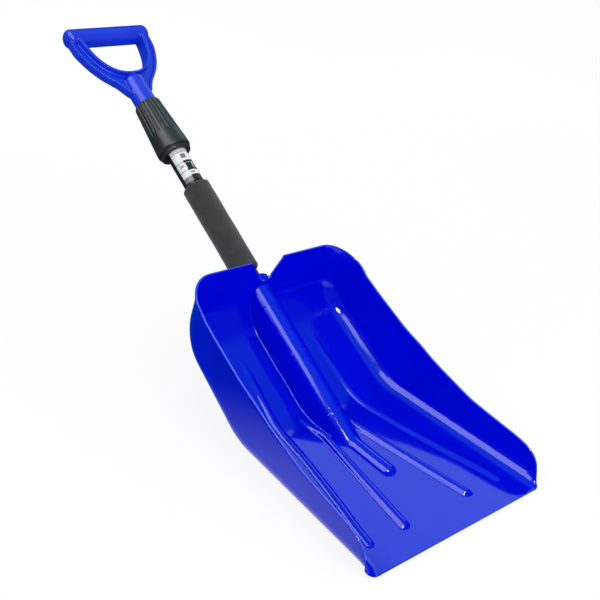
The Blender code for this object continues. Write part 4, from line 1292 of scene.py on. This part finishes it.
# ================================================================= lights
def area_light(name, location, size, watts, length=None, target=None,
               colour=(1, 1, 1), shape="SQUARE"):
    """Area light in metres: aimed at a target, or facing straight down. With a
    length it is a rectangle, size across x and length along y."""
    data = bpy.data.lights.new(name, "AREA")
    data.shape = "RECTANGLE" if length else shape
    data.size = size
    if length:
        data.size_y = length
    data.energy = watts
    data.color = colour
    ob = bpy.data.objects.new(name, data)
    bpy.context.scene.collection.objects.link(ob)
    ob.location = location
    if target:
        aim = Vector(target) - Vector(location)
        ob.rotation_euler = aim.to_track_quat("-Z", "Y").to_euler()
    return ob


def first_bounce(ob):
    """Seen in the gloss once, not again in reflections of reflections."""
    ob.data.use_nodes = True
    tree = ob.data.node_tree
    depth = node(tree, "LightPath").outputs["Ray Depth"]
    feed(tree, tree.nodes["Emission"],
         {"Strength": calculate(tree, "LESS_THAN", depth, 2.5)})
    ob.visible_diffuse = False


# large softbox over the left side, in two parts: seen in the gloss, with its
# diffuse share set apart so that the two can be balanced
COOL_WHITE = (0.94, 0.97, 1.0)
first_bounce(area_light("left_softbox_front", (-0.80, 0.09, 1.2), size=0.84,
                        length=0.44, watts=4.6, colour=COOL_WHITE))
first_bounce(area_light("left_softbox_back", (-1.13, 1.00, 1.2), size=1.50,
                        length=1.38, watts=26.0, colour=COOL_WHITE))
area_light("left_fill", (-1.15, 0.62, 1.2), size=1.42, length=1.52,
           watts=17.0).visible_glossy = False
area_light("front_fill", (0.25, -1.7, 0.75), target=(0.0, 0.1, 0.05), size=1.0,
           watts=8.0).visible_glossy = False
first_bounce(area_light("spark_light", (-0.63, -0.45, 1.15), target=(0.0, 0.1, 0.0),
                        size=0.40, watts=13.0, shape="DISK"))
first_bounce(area_light("right_card", (1.9, 1.22, 1.32), target=(0.0, 0.05, 0.0),
                        size=1.25, watts=5.4, colour=(0.7, 1.0, 1.0)))


def build_world():
    """White surroundings; in the gloss dark, with a faint cool glow overhead."""
    world = bpy.data.worlds.new("studio_world")
    bpy.context.scene.world = world
    world.use_nodes = True
    tree = world.node_tree
    path = node(tree, "LightPath").outputs

    def mix_value(factor, first, second):
        return node(tree, "Mix", {"Factor": factor, "A": first, "B": second},
                    data_type="FLOAT").outputs["Result"]

    plain = mix_value(path["Is Camera Ray"], 0.80, 1.0)
    direction = node(tree, "TexCoord").outputs["Generated"]
    upward = node(tree, "SeparateXYZ", {"Vector": direction}).outputs["Z"]
    overhead = map_range(tree, upward, span=(0.55, 1.0), to=(0.12, 0.85),
                         interpolation_type="SMOOTHSTEP")
    glossy = path["Is Glossy Ray"]
    feed(tree, tree.nodes["Background"], {
        "Strength": mix_value(glossy, plain, overhead),
        "Color": mix_colour(tree, glossy, (1.0, 1.0, 1.0), (0.12, 0.7, 0.9))})


build_world()


# ================================================================= camera
CAMERA_PLACE = (-0.8261762, -0.5170753, 0.7427381)
# columns: the camera's right, up and backward directions
CAMERA_TURN = Matrix(((0.72918883, 0.21377431, -0.65006476),
                      (-0.65873942, 0.47654867, -0.58220593),
                      (0.18532683, 0.85276134, 0.48831553)))
camera_data = bpy.data.cameras.new("camera")
camera_data.lens = 66.15538
camera_data.sensor_width = 36.0
camera_data.clip_start = 0.02
camera_data.clip_end = 30.0
camera = bpy.data.objects.new("camera", camera_data)
bpy.context.scene.collection.objects.link(camera)
camera.matrix_world = Matrix.Translation(CAMERA_PLACE) @ CAMERA_TURN.to_4x4()
bpy.context.scene.camera = camera

bpy.context.scene.view_settings.view_transform = "Standard"
bpy.context.scene.view_settings.look = "None"

bpy.context.view_layer.update()
